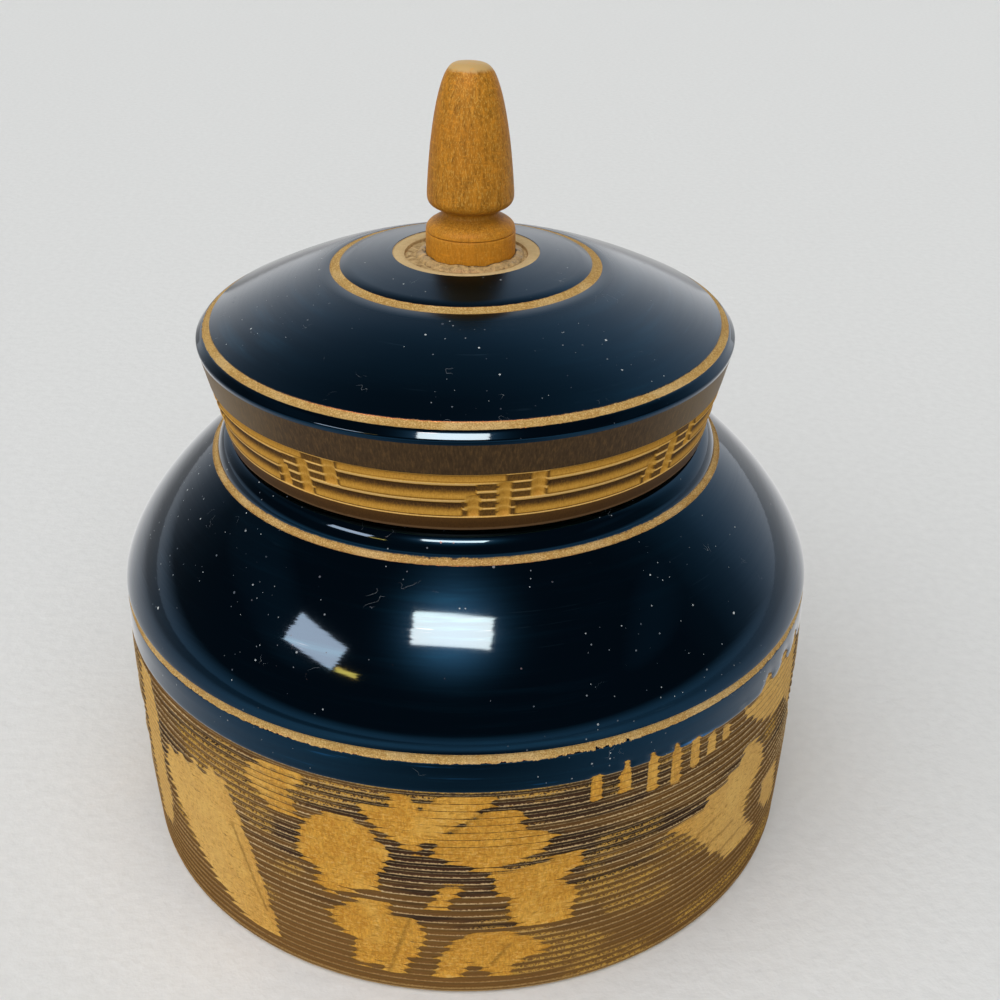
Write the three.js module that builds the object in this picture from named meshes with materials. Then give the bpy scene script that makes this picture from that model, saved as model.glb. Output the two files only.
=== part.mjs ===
// Turned and lacquered wooden trinket box, in millimetres, +Z up.
// A squat pot holds a lid with a spigot, and the lid carries a glued-in turned finial.
// The origin is the middle of the underside, and the front faces -Y.

import * as THREE from 'three';

// Pot, outside
const footRadius = 57.8;
const footEdge = 1.2;
const footRingWidth = 9;
const footHollow = 1;
const widestRadius = 58.45;
const widestHeight = 27;
const wallTopRadius = 57.8;
const bellyStripeHeight = 47.5;
const shoulderStripeRadius = 41.3;
const shoulderStripeHeight = 68.8;
const shoulderSpring = 1.2;
const shoulderReachOut = 13.4;
const shoulderReachDown = 10.9;
const collarTopRadius = 38;
const collarTopHeight = 72.1;
const collarRound = 0.9;

// Pot, inside
const mouthRadius = 32;
const mouthEdge = 0.8;
const neckDepth = 6.4;
const hollowRadius = 52;
const hollowWidestHeight = 37;
const hollowShoulderRadius = 48.5;
const hollowShoulderHeight = 54;
const floorHeight = 8;
const floorRadius = 47.5;
const floorRound = 4.4;

// Bare-wood stripes, turned through the lacquer
const stripeDepth = 0.35;
const potStripeWidth = 1.1;
const rimStripeWidth = 1.45;
const crownStripeWidth = 1.7;

// Lid
const lidGap = 0.3;
const lidFootHeight = collarTopHeight + lidGap;
const lidFootRadius = 38.9;
const lidFootEdge = 0.5;
const rimRadius = 42.4;
const rimHeight = 88.2;
const rimRound = 0.8;
const rimStripeRadius = 40.7;
const crownStripeRadius = 20.4;
const domeEdgeHeight = 90;
const domeEdgeRadius = 40.3;
const domeCrownHeight = 99.75;
const domeCrownRadius = 11.5;
const domeSteps = 3;
const spigotClearance = 0.4;
const spigotRadius = mouthRadius - spigotClearance;
const spigotLength = 8;
const spigotWall = 3.2;
const spigotEdge = 0.6;
const lidCeiling = 85;
const lidCeilingRadius = 18;
const lidCeilingSteps = 4;

// Seat for the finial
const seatRingInner = 9.75;
const seatRingDrop = 0.25;
const seatRadius = 9.5;
const seatHeight = 98.95;
const boreRadius = 4.2;
const boreDepth = 10;

// Carved rim: turned ridges, and chips and flutes cut across them
const carvedTop = 82.45;
const carvedBottom = 74.85;
const turnedLineDepth = 0.25;
const chipDepth = 0.5;
const fluteDepth = 0.7;
const rimRepeats = 9;
const frontMotifShare = 0.005;

// One character for each height of the carved rim, from its lowest ridge to its highest:
// - ridge left standing, v turned line, c long chip, f upright flute
const rimColumns = [
  [0, '-v-v-ccc-c-'],
  [0.03, '-ffffccc-c-'],
  [0.06, '-v-v-v-v-c-'],
  [0.145, '-v-v-v-v-c-'],
  [0.176, '-fffffff-c-'],
  [0.207, '-v-v-v-v-v-'],
  [0.315, '-ccc-v-v-v-'],
  [0.342, '-ccc-fffff-'],
  [0.37, '-ccc-v-v-v-'],
  [0.395, '-ccc-ccc-c-'],
  [0.68, '-ccc-ccc-c-'],
  [0.975, '-ccc-ccc-c-'],
];
const cutDepths = { '-': 0, v: turnedLineDepth, c: chipDepth, f: fluteDepth };
const carvedHeights = rimColumns[0][1].length;

// Finial
const finialOffCentre = 0.7;
const finialFootRadius = 6.95;
const finialFootHeight = 4.3;
const finialLineDepth = 0.12;
const finialBellHeight = 2.3;
const finialNeckRadius = 4.35;
const finialNeckHeight = 0.6;
const finialFlareHeight = 2.1;
const finialWidestRadius = 6.65;
const finialTipRadius = 3.1;
const finialTopHeight = 128.2;
const finialTipRound = 1.1;
const finialSteps = 5;
const tenonRadius = 3.5;
const tenonLength = 9;
const tenonEdge = 0.5;

// Dried glue squeezed out round the finial's foot
const glueClearance = 0.05;
const glueTopWidth = 0.5;
const glueHeight = 0.9;
const glueWidth = 1.7;
const glueLip = 0.2;
const glueWaver = 0.5;
const glueLobes = 5;

// Facets round each piece
const potFacets = 60;
const finialFacets = 24;

function point(radius, height) {
  return new THREE.Vector2(radius, height);
}

function colour(hex, roughness) {
  return new THREE.MeshStandardMaterial({ color: hex, roughness, metalness: 0 });
}

function bend(from, pullFrom, pullTo, to, steps) {
  return new THREE.CubicBezierCurve(from, pullFrom, pullTo, to).getPoints(steps);
}

// A stripe is a shallow V in the outline. Its slope is the outline's there, in degrees from level.
function stripe(radius, height, width, slope) {
  const tilt = THREE.MathUtils.degToRad(slope);
  const along = point(Math.cos(tilt), -Math.sin(tilt)).multiplyScalar(width / 2);
  const inward = point(-Math.sin(tilt), -Math.cos(tilt)).multiplyScalar(stripeDepth);
  const middle = point(radius, height);
  return [middle.clone().add(along), middle.clone().add(inward), middle.clone().sub(along)];
}

function turned(outline, facets) {
  const geometry = new THREE.LatheGeometry(outline, facets);
  geometry.rotateX(Math.PI / 2);
  return geometry;
}

function piece(name, geometry, material) {
  geometry.computeVertexNormals();
  const mesh = new THREE.Mesh(geometry, material);
  mesh.name = name;
  return mesh;
}

// Pot
function potUnderside() {
  const ringInner = footRadius - footRingWidth;
  return [
    point(0, footHollow),
    point(ringInner - footHollow, footHollow),
    point(ringInner, 0),
    point(footRadius - footEdge, 0),
    point(footRadius, footEdge),
  ];
}

function potWall(bellyStripe) {
  const wall = [point(footRadius, footEdge), point(widestRadius, widestHeight), bellyStripe[0]];
  return new THREE.SplineCurve(wall).getPoints(4).slice(1, -1);
}

function potShoulder(bellyStripe, shoulderStripe) {
  const from = bellyStripe[2];
  const to = shoulderStripe[0];
  const pullFrom = point(from.x, from.y + shoulderSpring);
  const pullTo = point(to.x + shoulderReachOut, to.y - shoulderReachDown);
  return bend(from, pullFrom, pullTo, to, 7).slice(1, -1);
}

function potCollar(shoulderStripe) {
  const from = shoulderStripe[2];
  const to = point(collarTopRadius, collarTopHeight);
  const corner = point(from.x - collarRound, to.y);
  return new THREE.QuadraticBezierCurve(from, corner, to).getPoints(3).slice(1);
}

function potInside() {
  const neck = point(mouthRadius, collarTopHeight - neckDepth);
  const widest = point(hollowRadius, hollowWidestHeight);
  const shoulder = point(hollowShoulderRadius, hollowShoulderHeight);
  const corner = point(hollowRadius, floorHeight + floorRound);
  const floor = point(floorRadius, floorHeight);
  const dome = new THREE.SplineCurve([neck, shoulder, widest]).getPoints(6);
  const round = new THREE.QuadraticBezierCurve(corner, point(hollowRadius, floorHeight), floor);
  return [
    point(mouthRadius + mouthEdge, collarTopHeight),
    point(mouthRadius, collarTopHeight - mouthEdge),
    ...dome,
    ...round.getPoints(3),
    point(0, floorHeight),
  ];
}

function makePot() {
  const bellyStripe = stripe(wallTopRadius, bellyStripeHeight, potStripeWidth, 90);
  const shoulderStripe = stripe(shoulderStripeRadius, shoulderStripeHeight, potStripeWidth, 38);
  const outline = [
    ...potUnderside(),
    ...potWall(bellyStripe),
    ...bellyStripe,
    ...potShoulder(bellyStripe, shoulderStripe),
    ...shoulderStripe,
    ...potCollar(shoulderStripe),
    ...potInside(),
  ];
  return piece('pot', turned(outline, potFacets), colour(0x0b1a26, 0.15));
}

// Lid
function lidUnderside() {
  const inner = spigotRadius - spigotWall;
  const bottom = lidFootHeight - spigotLength;
  const edge = point(lidCeilingRadius, lidCeiling);
  const wall = point(inner, lidFootHeight);
  const cove = new THREE.QuadraticBezierCurve(edge, point(inner, lidCeiling), wall);
  return [
    point(0, lidCeiling),
    ...cove.getPoints(lidCeilingSteps),
    point(inner, bottom),
    point(spigotRadius - spigotEdge, bottom),
    point(spigotRadius, bottom + spigotEdge),
    point(spigotRadius, lidFootHeight),
    point(lidFootRadius - lidFootEdge, lidFootHeight),
    point(lidFootRadius, lidFootHeight + lidFootEdge),
  ];
}

function carvedRim() {
  const from = point(lidFootRadius, lidFootHeight + lidFootEdge);
  const to = point(rimRadius, rimHeight);
  return Array.from({ length: carvedHeights }, (_, level) => {
    const height = THREE.MathUtils.mapLinear(level, 0, carvedHeights - 1, carvedBottom, carvedTop);
    return from.clone().lerp(to, (height - from.y) / (to.y - from.y));
  });
}

// The dome is a parabola between its edge and its crown, a little steeper than level at the crown.
function domeHeight(radius) {
  const out = (radius - domeCrownRadius) / (domeEdgeRadius - domeCrownRadius);
  const fall = domeCrownHeight - domeEdgeHeight;
  const crownSlopeShare = 0.454;
  return domeCrownHeight - fall * out * (crownSlopeShare + (1 - crownSlopeShare) * out);
}

function domeBetween(outer, inner) {
  return Array.from({ length: domeSteps - 1 }, (_, step) => {
    const radius = THREE.MathUtils.lerp(outer, inner, (step + 1) / domeSteps);
    return point(radius, domeHeight(radius));
  });
}

function lidTop() {
  const rimStripe = stripe(rimStripeRadius, domeHeight(rimStripeRadius), rimStripeWidth, 35);
  const crownStripe = stripe(crownStripeRadius, domeHeight(crownStripeRadius), crownStripeWidth, 16);
  return [
    point(rimRadius, rimHeight),
    point(rimRadius - rimRound / 2, rimHeight + rimRound),
    ...rimStripe,
    ...domeBetween(rimStripe[2].x, crownStripe[0].x),
    ...crownStripe,
    ...domeBetween(crownStripe[2].x, domeCrownRadius),
    point(domeCrownRadius, domeCrownHeight),
    point(domeCrownRadius - seatRingDrop, domeCrownHeight - seatRingDrop),
    point(seatRingInner, domeCrownHeight - seatRingDrop),
    point(seatRadius, seatHeight),
    point(boreRadius, seatHeight),
    point(boreRadius, seatHeight - boreDepth),
    point(0, seatHeight - boreDepth),
  ];
}

function columnTurns() {
  const turns = [];
  for (let repeat = 0; repeat < rimRepeats; repeat += 1) {
    for (const [share] of rimColumns) {
      turns.push((repeat + share + frontMotifShare) / rimRepeats);
    }
  }
  turns.push(turns[0] + 1);
  return turns;
}

// The lathe's even columns are moved to the motif's own angles, then each cut is sunk into the rim.
function carve(geometry, outline, firstCarved) {
  const turns = columnTurns();
  const position = geometry.attributes.position;
  for (let index = 0; index < position.count; index += 1) {
    const column = Math.floor(index / outline.length);
    const row = index % outline.length;
    const cuts = rimColumns[column % rimColumns.length][1];
    const cut = cutDepths[cuts[row - firstCarved]] ?? 0;
    const angle = turns[column] * 2 * Math.PI;
    const radius = Math.max(outline[row].x - cut, 0);
    position.setXYZ(index, radius * Math.sin(angle), -radius * Math.cos(angle), outline[row].y);
  }
}

function makeLid() {
  const underside = lidUnderside();
  const outline = [...underside, ...carvedRim(), ...lidTop()];
  const geometry = turned(outline, rimRepeats * rimColumns.length);
  carve(geometry, outline, underside.length);
  return piece('lid', geometry, colour(0x0b1a26, 0.15));
}

// Finial
function finialFoot() {
  const shoulder = seatHeight + finialFootHeight;
  const neck = shoulder + finialBellHeight;
  const bell = new THREE.QuadraticBezierCurve(
    point(finialFootRadius, shoulder),
    point(finialFootRadius - finialLineDepth, neck - finialNeckHeight),
    point(finialNeckRadius, neck),
  );
  return [
    point(0, seatHeight - tenonLength),
    point(tenonRadius - tenonEdge, seatHeight - tenonLength),
    point(tenonRadius, seatHeight - tenonLength + tenonEdge),
    point(tenonRadius, seatHeight),
    point(finialFootRadius, seatHeight),
    ...bell.getPoints(finialSteps),
    point(finialNeckRadius, neck + finialNeckHeight),
  ];
}

function finialBullet() {
  const neckTop = seatHeight + finialFootHeight + finialBellHeight + finialNeckHeight;
  const widest = point(finialWidestRadius, neckTop + finialFlareHeight);
  const tip = point(finialTipRadius, finialTopHeight - finialTipRound / 2);
  const rise = tip.y - widest.y;
  const side = bend(
    widest,
    point(widest.x - tip.x / 5, widest.y + rise / 2),
    point(tip.x + rise / 12, tip.y - rise / 8),
    tip,
    finialSteps,
  );
  return [
    point((finialNeckRadius + finialWidestRadius) / 2, neckTop + finialFlareHeight / 3),
    point(finialWidestRadius - finialLineDepth, widest.y - finialFlareHeight / 3),
    ...side,
    point(tip.x - finialTipRound, finialTopHeight),
    point(0, finialTopHeight),
  ];
}

function makeFinial() {
  const outline = [...finialFoot(), ...finialBullet()];
  return piece('finial', turned(outline, finialFacets), colour(0xa8692e, 0.55));
}

// Glue
function makeGlue() {
  const inner = finialFootRadius + glueClearance;
  const outline = [
    point(inner, seatHeight),
    point(inner + glueWidth, seatHeight),
    point(inner + glueWidth, seatHeight + glueLip),
    point(inner + glueTopWidth, seatHeight + glueHeight),
    point(inner, seatHeight + glueHeight),
    point(inner, seatHeight),
  ];
  const geometry = turned(outline, finialFacets);
  const position = geometry.attributes.position;
  for (let index = 0; index < position.count; index += 1) {
    const radius = Math.hypot(position.getX(index), position.getY(index));
    const angle = Math.atan2(position.getY(index), position.getX(index));
    const outward = Math.max(radius - inner - glueTopWidth, 0) / glueWidth;
    const scale = 1 - (outward * glueWaver * (1 + Math.sin(glueLobes * angle))) / radius;
    position.setXY(index, position.getX(index) * scale, position.getY(index) * scale);
  }
  return piece('glue_bead', geometry, colour(0x8f8874, 0.7));
}

const box = new THREE.Group();
const lidGroup = new THREE.Group();
const finialGroup = new THREE.Group();
finialGroup.position.x = finialOffCentre;
finialGroup.add(makeFinial(), makeGlue());
lidGroup.add(makeLid(), finialGroup);
box.add(makePot(), lidGroup);

export default box;
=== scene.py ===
"""Looks for a turned and lacquered wooden trinket box, built as an add-on and run as a script.

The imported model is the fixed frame, in metres. Each turned piece is drawn as half an outline, spun about
the box's own axis, and then carved where the real one is carved. Outlines below are in millimetres.
"""
import math

import bpy
import numpy as np
from mathutils import Matrix, Vector


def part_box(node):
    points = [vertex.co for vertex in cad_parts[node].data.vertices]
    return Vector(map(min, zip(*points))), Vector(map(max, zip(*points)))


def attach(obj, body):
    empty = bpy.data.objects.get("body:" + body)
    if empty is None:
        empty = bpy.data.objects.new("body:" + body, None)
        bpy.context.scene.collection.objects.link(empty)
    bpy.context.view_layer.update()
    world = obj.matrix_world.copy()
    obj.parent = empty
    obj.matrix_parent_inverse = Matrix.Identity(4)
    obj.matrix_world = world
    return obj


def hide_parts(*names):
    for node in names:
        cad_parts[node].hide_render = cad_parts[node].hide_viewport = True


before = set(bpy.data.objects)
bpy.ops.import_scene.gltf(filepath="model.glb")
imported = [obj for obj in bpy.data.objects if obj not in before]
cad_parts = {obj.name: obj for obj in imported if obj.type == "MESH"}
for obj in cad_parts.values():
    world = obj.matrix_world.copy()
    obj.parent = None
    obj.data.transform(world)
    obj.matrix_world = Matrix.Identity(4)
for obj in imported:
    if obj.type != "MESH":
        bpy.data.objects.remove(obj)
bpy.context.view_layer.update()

bl_info = {
    "name": "Turned Trinket Box",
    "version": (1, 0, 0),
    "blender": (4, 5, 0),
    "location": "3D View > Sidebar > Trinket Box",
    "description": "Builds a lacquered, carved and lidded wooden box piece by piece",
    "category": "Add Mesh",
}

MM = 0.001
POT_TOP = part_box("pot")[1][2] / MM
LID_FOOT = POT_TOP + 0.3
FINIAL_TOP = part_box("finial")[1][2] / MM
SEAT_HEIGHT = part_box("glue_bead")[0][2] / MM
FINIAL_OFF_CENTRE = (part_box("finial")[0][0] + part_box("finial")[1][0]) / 2 / MM
# Places that both the shapes and the finishes use, in millimetres: first heights, then radii
BELLY_STRIPE = 47.4
LID_EDGE = 88.0
RIM_LOW, RIM_HIGH = 74.85, 82.45
SHOULDER_STRIPE = 41.3
RIM_STRIPE = 40.7
CROWN_STRIPE = 20.4
# The pot's lower wall is widest at its middle, and drawn in towards its foot and its top
WALL_WIDEST, WALL_MIDDLE, WALL_FOOT = 58.4, 27, 1.25
FOOT_DRAWN_IN, TOP_DRAWN_IN = 0.6, 0.62
# The lid's wall leans outwards from its foot to its edge
RIM_FOOT_RADIUS, RIM_FOOT_HEIGHT, RIM_TOP_RADIUS = 38.88, 72.9, 42.35
# The lid's dome falls from its crown, in which the finial's seat is sunk
CROWN_RADIUS, CROWN_HEIGHT = 11.5, 99.75
DOME_REACH, DOME_FALL, CROWN_SLOPE = 28.8, 9.75, 0.454
SEAT_RADIUS, BORE_RADIUS = 9.5, 4.2
FINIAL_GROOVE = 103.23
GLUE_INNER, GLUE_HEIGHT = 7.0, 0.88


# Sizes and colours that a user would change

def faces_round(piece, count, least):
    return bpy.props.IntProperty(
        name=f"{piece} columns", description=f"Faces round the {piece.lower()}", default=count, min=least)


def measure(name, millimetres, description):
    return bpy.props.FloatProperty(
        name=name, description=description, default=millimetres * MM, unit="LENGTH")


def tint(name, colour, description):
    return bpy.props.FloatVectorProperty(
        name=name, description=description, subtype="COLOR", default=colour, min=0, max=1)


class BoxSizes(bpy.types.PropertyGroup):
    """Sizes of the box's turned and carved detail"""

    pot_columns: faces_round("Pot", 424, 32)
    lid_columns: faces_round("Lid", 630, 32)
    finial_columns: faces_round("Finial", 96, 12)
    line_pitch: measure("Line pitch", 1.34, "Distance between the turned lines of the lower wall")
    line_depth: measure("Line depth", 0.24, "Depth of the turned lines of the lower wall")
    gouge_share: bpy.props.FloatProperty(
        name="Gouge share", description="Depth of the gouge's cuts, as a share of the usual depth",
        default=1.0, min=0, max=1.5, subtype="FACTOR")
    band_top: measure("Band top", 41.5, "Height where the lacquer meets the carved lower wall")
    stripe_depth: measure("Stripe depth", 0.18, "Depth of the bare-wood stripes")


class BoxColours(bpy.types.PropertyGroup):
    """Colours of the box's finishes"""

    lacquer: tint(
        "Lacquer", (0.0070, 0.0265, 0.0520), "Blue-black lacquer, as it mirrors when looked at steeply")
    lacquer_blue: tint("Thin lacquer", (0.0100, 0.0520, 0.0980), "Blue that shows where the lacquer is thin")
    strip_blue: tint(
        "Strip blue", (0.020, 0.130, 0.330), "Bright blue streaks in the strip over the carved wall")
    cut_wood: tint("Cut wood", (0.55, 0.285, 0.040), "Freshly cut golden wood")
    stripe_wood: tint("Stripe wood", (0.46, 0.295, 0.095), "Bare wood of the turned stripes")
    stain: tint("Stain", (0.038, 0.021, 0.009), "Dark stain in the upper lines of the lower wall")
    low_stain: tint("Low stain", (0.165, 0.084, 0.020), "Browner stain towards the foot")
    rim_stain: tint("Rim stain", (0.054, 0.032, 0.014), "Grey-brown stain under the lid's edge")
    finial_wood: tint("Finial wood", (0.41, 0.168, 0.013), "Honey-coloured wood of the finial")
    plain_wood: tint("Plain wood", (0.56, 0.36, 0.18), "Unfinished wood inside and underneath")
    glue: tint("Glue", (0.46, 0.31, 0.135), "Dried glue round the finial")
    floor: tint("Floor", (0.72, 0.73, 0.725), "Pale floor")


# Outlines, in millimetres

def bezier(start, pull_start, pull_end, end, steps):
    """Points of a curve that leaves its start and reaches its end along the two pulls."""
    t = np.linspace(0, 1, steps + 1)[:, None]
    points = [np.array(p, float) for p in (start, pull_start, pull_end, end)]
    weights = ((1 - t) ** 3, 3 * t * (1 - t) ** 2, 3 * t * t * (1 - t), t ** 3)
    return [tuple(p) for p in sum(w * p for w, p in zip(weights, points))]


def rounded(start, corner, end, steps):
    """Points of a curve that rounds off a corner."""
    start, corner, end = (np.array(p, float) for p in (start, corner, end))
    t = np.linspace(0, 1, steps + 1)[:, None]
    return [tuple(p) for p in (1 - t) ** 2 * start + 2 * t * (1 - t) * corner + t * t * end]


def straight(start, end, steps):
    """Evenly spaced points of a line, both ends among them."""
    t = np.linspace(0, 1, steps + 1)[:, None]
    return [tuple(p) for p in (1 - t) * np.array(start, float) + t * np.array(end, float)]


def stripe(radius, height, width, slope, depth, steps=8):
    """A shallow scoop across the outline, which there slopes by slope degrees."""
    tilt = math.radians(slope)
    along = np.array([math.cos(tilt), -math.sin(tilt)])
    inward = np.array([-math.sin(tilt), -math.cos(tilt)])
    across = np.concatenate([[1.0, 0.92], np.linspace(0.7, -0.7, steps - 3), [-0.92, -1.0]])
    sunk = depth * np.minimum(1, (1 - across ** 2) * 2.2)
    return [tuple(np.array([radius, height]) + a * along * width / 2 + s * inward)
            for a, s in zip(across, sunk)]


def wall_radius(height):
    """The pot's lower wall swells a little at its middle."""
    up = np.asarray(height, float) - WALL_MIDDLE
    low = WALL_WIDEST - FOOT_DRAWN_IN * (up / 26) ** 2
    high = WALL_WIDEST - TOP_DRAWN_IN * (up / 20.5) ** 2
    return np.where(up < 0, low, high)


def dome_height(radius):
    """The lid's dome is a parabola that is already a little steep at its crown."""
    out = (radius - CROWN_RADIUS) / DOME_REACH
    return CROWN_HEIGHT - DOME_FALL * out * (CROWN_SLOPE + (1 - CROWN_SLOPE) * out)


def pot_outline(sizes):
    """The pot's half outline, and the rows between which it is outside."""
    depth = sizes.stripe_depth / MM
    top = POT_TOP - 0.02
    foot_radius, ring_radius, foot_hollow = 56.4, 48.3, 1
    mouth_radius, hollow_radius, floor_height = 32.02, 52, 8
    belly = stripe(57.78, BELLY_STRIPE, 1.5, 90, depth)
    shoulder = stripe(SHOULDER_STRIPE, 68.8, 1.1, 38, depth)
    start, end = belly[-1], shoulder[0]
    dome = bezier(start, (start[0], start[1] + 1.2), (end[0] + 13.4, end[1] - 10.9), end, 30)
    collar = rounded(shoulder[-1], (shoulder[-1][0] - 0.9, top), (38, top), 9)
    rows = round(sizes.band_top / sizes.line_pitch * 4)
    heights = np.arange(1, rows) * sizes.line_pitch / MM / 4 + 1.05
    wall = [(float(wall_radius(z)), float(z)) for z in heights]
    strip = [(float(wall_radius(z)), z) for z in (42.55, 42.8, 43.1, 43.5, 44.4, 46.3)]
    underside = [(r, foot_hollow) for r in (0, 14, 28, 42, 47.7)]
    underside += [(ring_radius, 0.85), (48.9, 0.02), (53, 0), (foot_radius, 0)]
    edge = rounded((56.65, 0.02), (57.75, 0.05), (57.8, 1.2), 4)
    mouth = rounded((33.0, top), (32.05, POT_TOP), (mouth_radius, POT_TOP - 0.9), 3)
    hollow = rounded((mouth_radius, 65.5), (52.4, 57), (hollow_radius, 38), 14)
    corner = rounded((hollow_radius, 12.4), (hollow_radius, floor_height), (47.5, floor_height), 6)
    outside = edge + wall + strip + belly + dome[1:-1] + shoulder + collar[1:]
    inside = mouth + hollow + [(hollow_radius, 28), (hollow_radius, 20)] + corner
    inside += [(r, floor_height) for r in (36, 24, 12, 0)]
    return underside + outside + inside, len(underside), len(underside) + len(outside)


def lid_outline(sizes):
    """The lid's half outline, and the row at which its outside starts."""
    depth = sizes.stripe_depth / MM
    hollow_top, hollow_radius, spigot_radius = 85, 28.4, 31.58
    bottom = LID_FOOT - 8
    cove = rounded((18, hollow_top), (hollow_radius, hollow_top), (hollow_radius, LID_FOOT), 14)
    spigot = [(hollow_radius, bottom + 0.5), (28.8, bottom), (31, bottom), (spigot_radius, bottom + 0.6),
              (spigot_radius, LID_FOOT)]
    underside = [(r, hollow_top) for r in (0, 6, 12)] + cove + spigot + [(34, LID_FOOT), (38.2, LID_FOOT)]
    slope = (RIM_TOP_RADIUS - RIM_FOOT_RADIUS) / (LID_EDGE - RIM_FOOT_HEIGHT)
    heights = np.concatenate([[73.2, 73.8, 74.3], np.linspace(RIM_LOW - 0.1, RIM_HIGH + 0.1, 69),
                              np.linspace(83.1, 87.9, 4)])
    foot = rounded((38.4, LID_FOOT), (38.86, LID_FOOT), (RIM_FOOT_RADIUS, RIM_FOOT_HEIGHT), 3)
    wall = foot + [(RIM_FOOT_RADIUS + slope * (z - RIM_FOOT_HEIGHT), float(z)) for z in heights]
    rim = stripe(RIM_STRIPE, dome_height(RIM_STRIPE), 1.45, 32, depth)
    crown = stripe(CROWN_STRIPE, dome_height(CROWN_STRIPE), 1.7, 16, depth * 0.8)
    edge = rounded((42.36, LID_EDGE), (42.4, 88.25), (42.28, 88.42), 3)
    edge += straight((42.22, 88.49), (41.74, 89.05), 3) + rounded((41.68, 89.12), (41.5, 89.33), rim[0], 3)
    dome = [(float(r), float(dome_height(r))) for r in np.linspace(rim[-1][0], crown[0][0], 13)[1:-1]]
    cap = [(float(r), float(dome_height(r))) for r in np.linspace(crown[-1][0], CROWN_RADIUS, 6)[1:-1]]
    ring = [(CROWN_RADIUS, 99.73), (11.3, 99.53), (10.6, 99.57), (9.85, 99.53), (9.6, 99.4),
            (SEAT_RADIUS, SEAT_HEIGHT)]
    bore = [(7.5, SEAT_HEIGHT), (4.4, SEAT_HEIGHT), (BORE_RADIUS, SEAT_HEIGHT - 0.2), (BORE_RADIUS, 88.95),
            (0, 88.95)]
    return underside + wall + edge + rim[1:] + dome + crown + cap + ring + bore, len(underside)


def finial_outline():
    """The finial's half outline, from the tenon in the lid's bore up to the tip."""
    seat = SEAT_HEIGHT + 0.03
    tenon_radius, foot_radius = 3.45, 6.93
    tenon = [(0, 89.95), (3, 89.95), (tenon_radius, 90.45), (tenon_radius, seat), (6.8, seat),
             (6.92, seat + 0.15)]
    foot = straight((foot_radius, seat + 0.4), (foot_radius, 103.0), 6)
    groove = [(6.9, 103.08), (6.74, 103.18), (6.74, 103.28), (6.88, 103.38)]
    bell = bezier((6.86, 103.5), (6.75, 104.7), (5.1, 104.9), (4.35, 105.8), 14)
    neck = bezier((4.33, 105.95), (4.25, 106.3), (4.5, 106.6), (5.0, 106.8), 6)
    flare = bezier((5.2, 106.9), (6.1, 107.2), (6.6, 107.6), (6.64, 108.6), 9)
    bullet = bezier((6.64, 109.0), (6.2, 117.0), (5.0, 124.6), (3.3, 127.1), 30)
    tip = rounded((3.2, 127.25), (2.7, FINIAL_TOP - 0.15), (1.7, FINIAL_TOP - 0.08), 6)
    tip += [(0.8, FINIAL_TOP - 0.03), (0, FINIAL_TOP - 0.02)]
    return tenon + foot + groove + bell + neck + flare + bullet + tip


# Carving, worked out for every point of a turned surface

def inside_by(across, up, outline):
    """How far a place lies inside a closed outline, in millimetres; negative outside."""
    corners = np.array(outline, float)
    reach = np.full(across.shape, 1e9)
    within = np.zeros(across.shape, bool)
    for (x0, y0), (x1, y1) in zip(corners, np.roll(corners, -1, axis=0)):
        dx, dy = x1 - x0, y1 - y0
        share = np.clip(((across - x0) * dx + (up - y0) * dy) / (dx * dx + dy * dy), 0, 1)
        reach = np.minimum(reach, np.hypot(across - x0 - share * dx, up - y0 - share * dy))
        if dy:
            crosses = ((y0 > up) != (y1 > up)) & (across < x0 + (up - y0) * dx / dy)
            within ^= crosses
    return np.where(within, reach, -reach)


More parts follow.
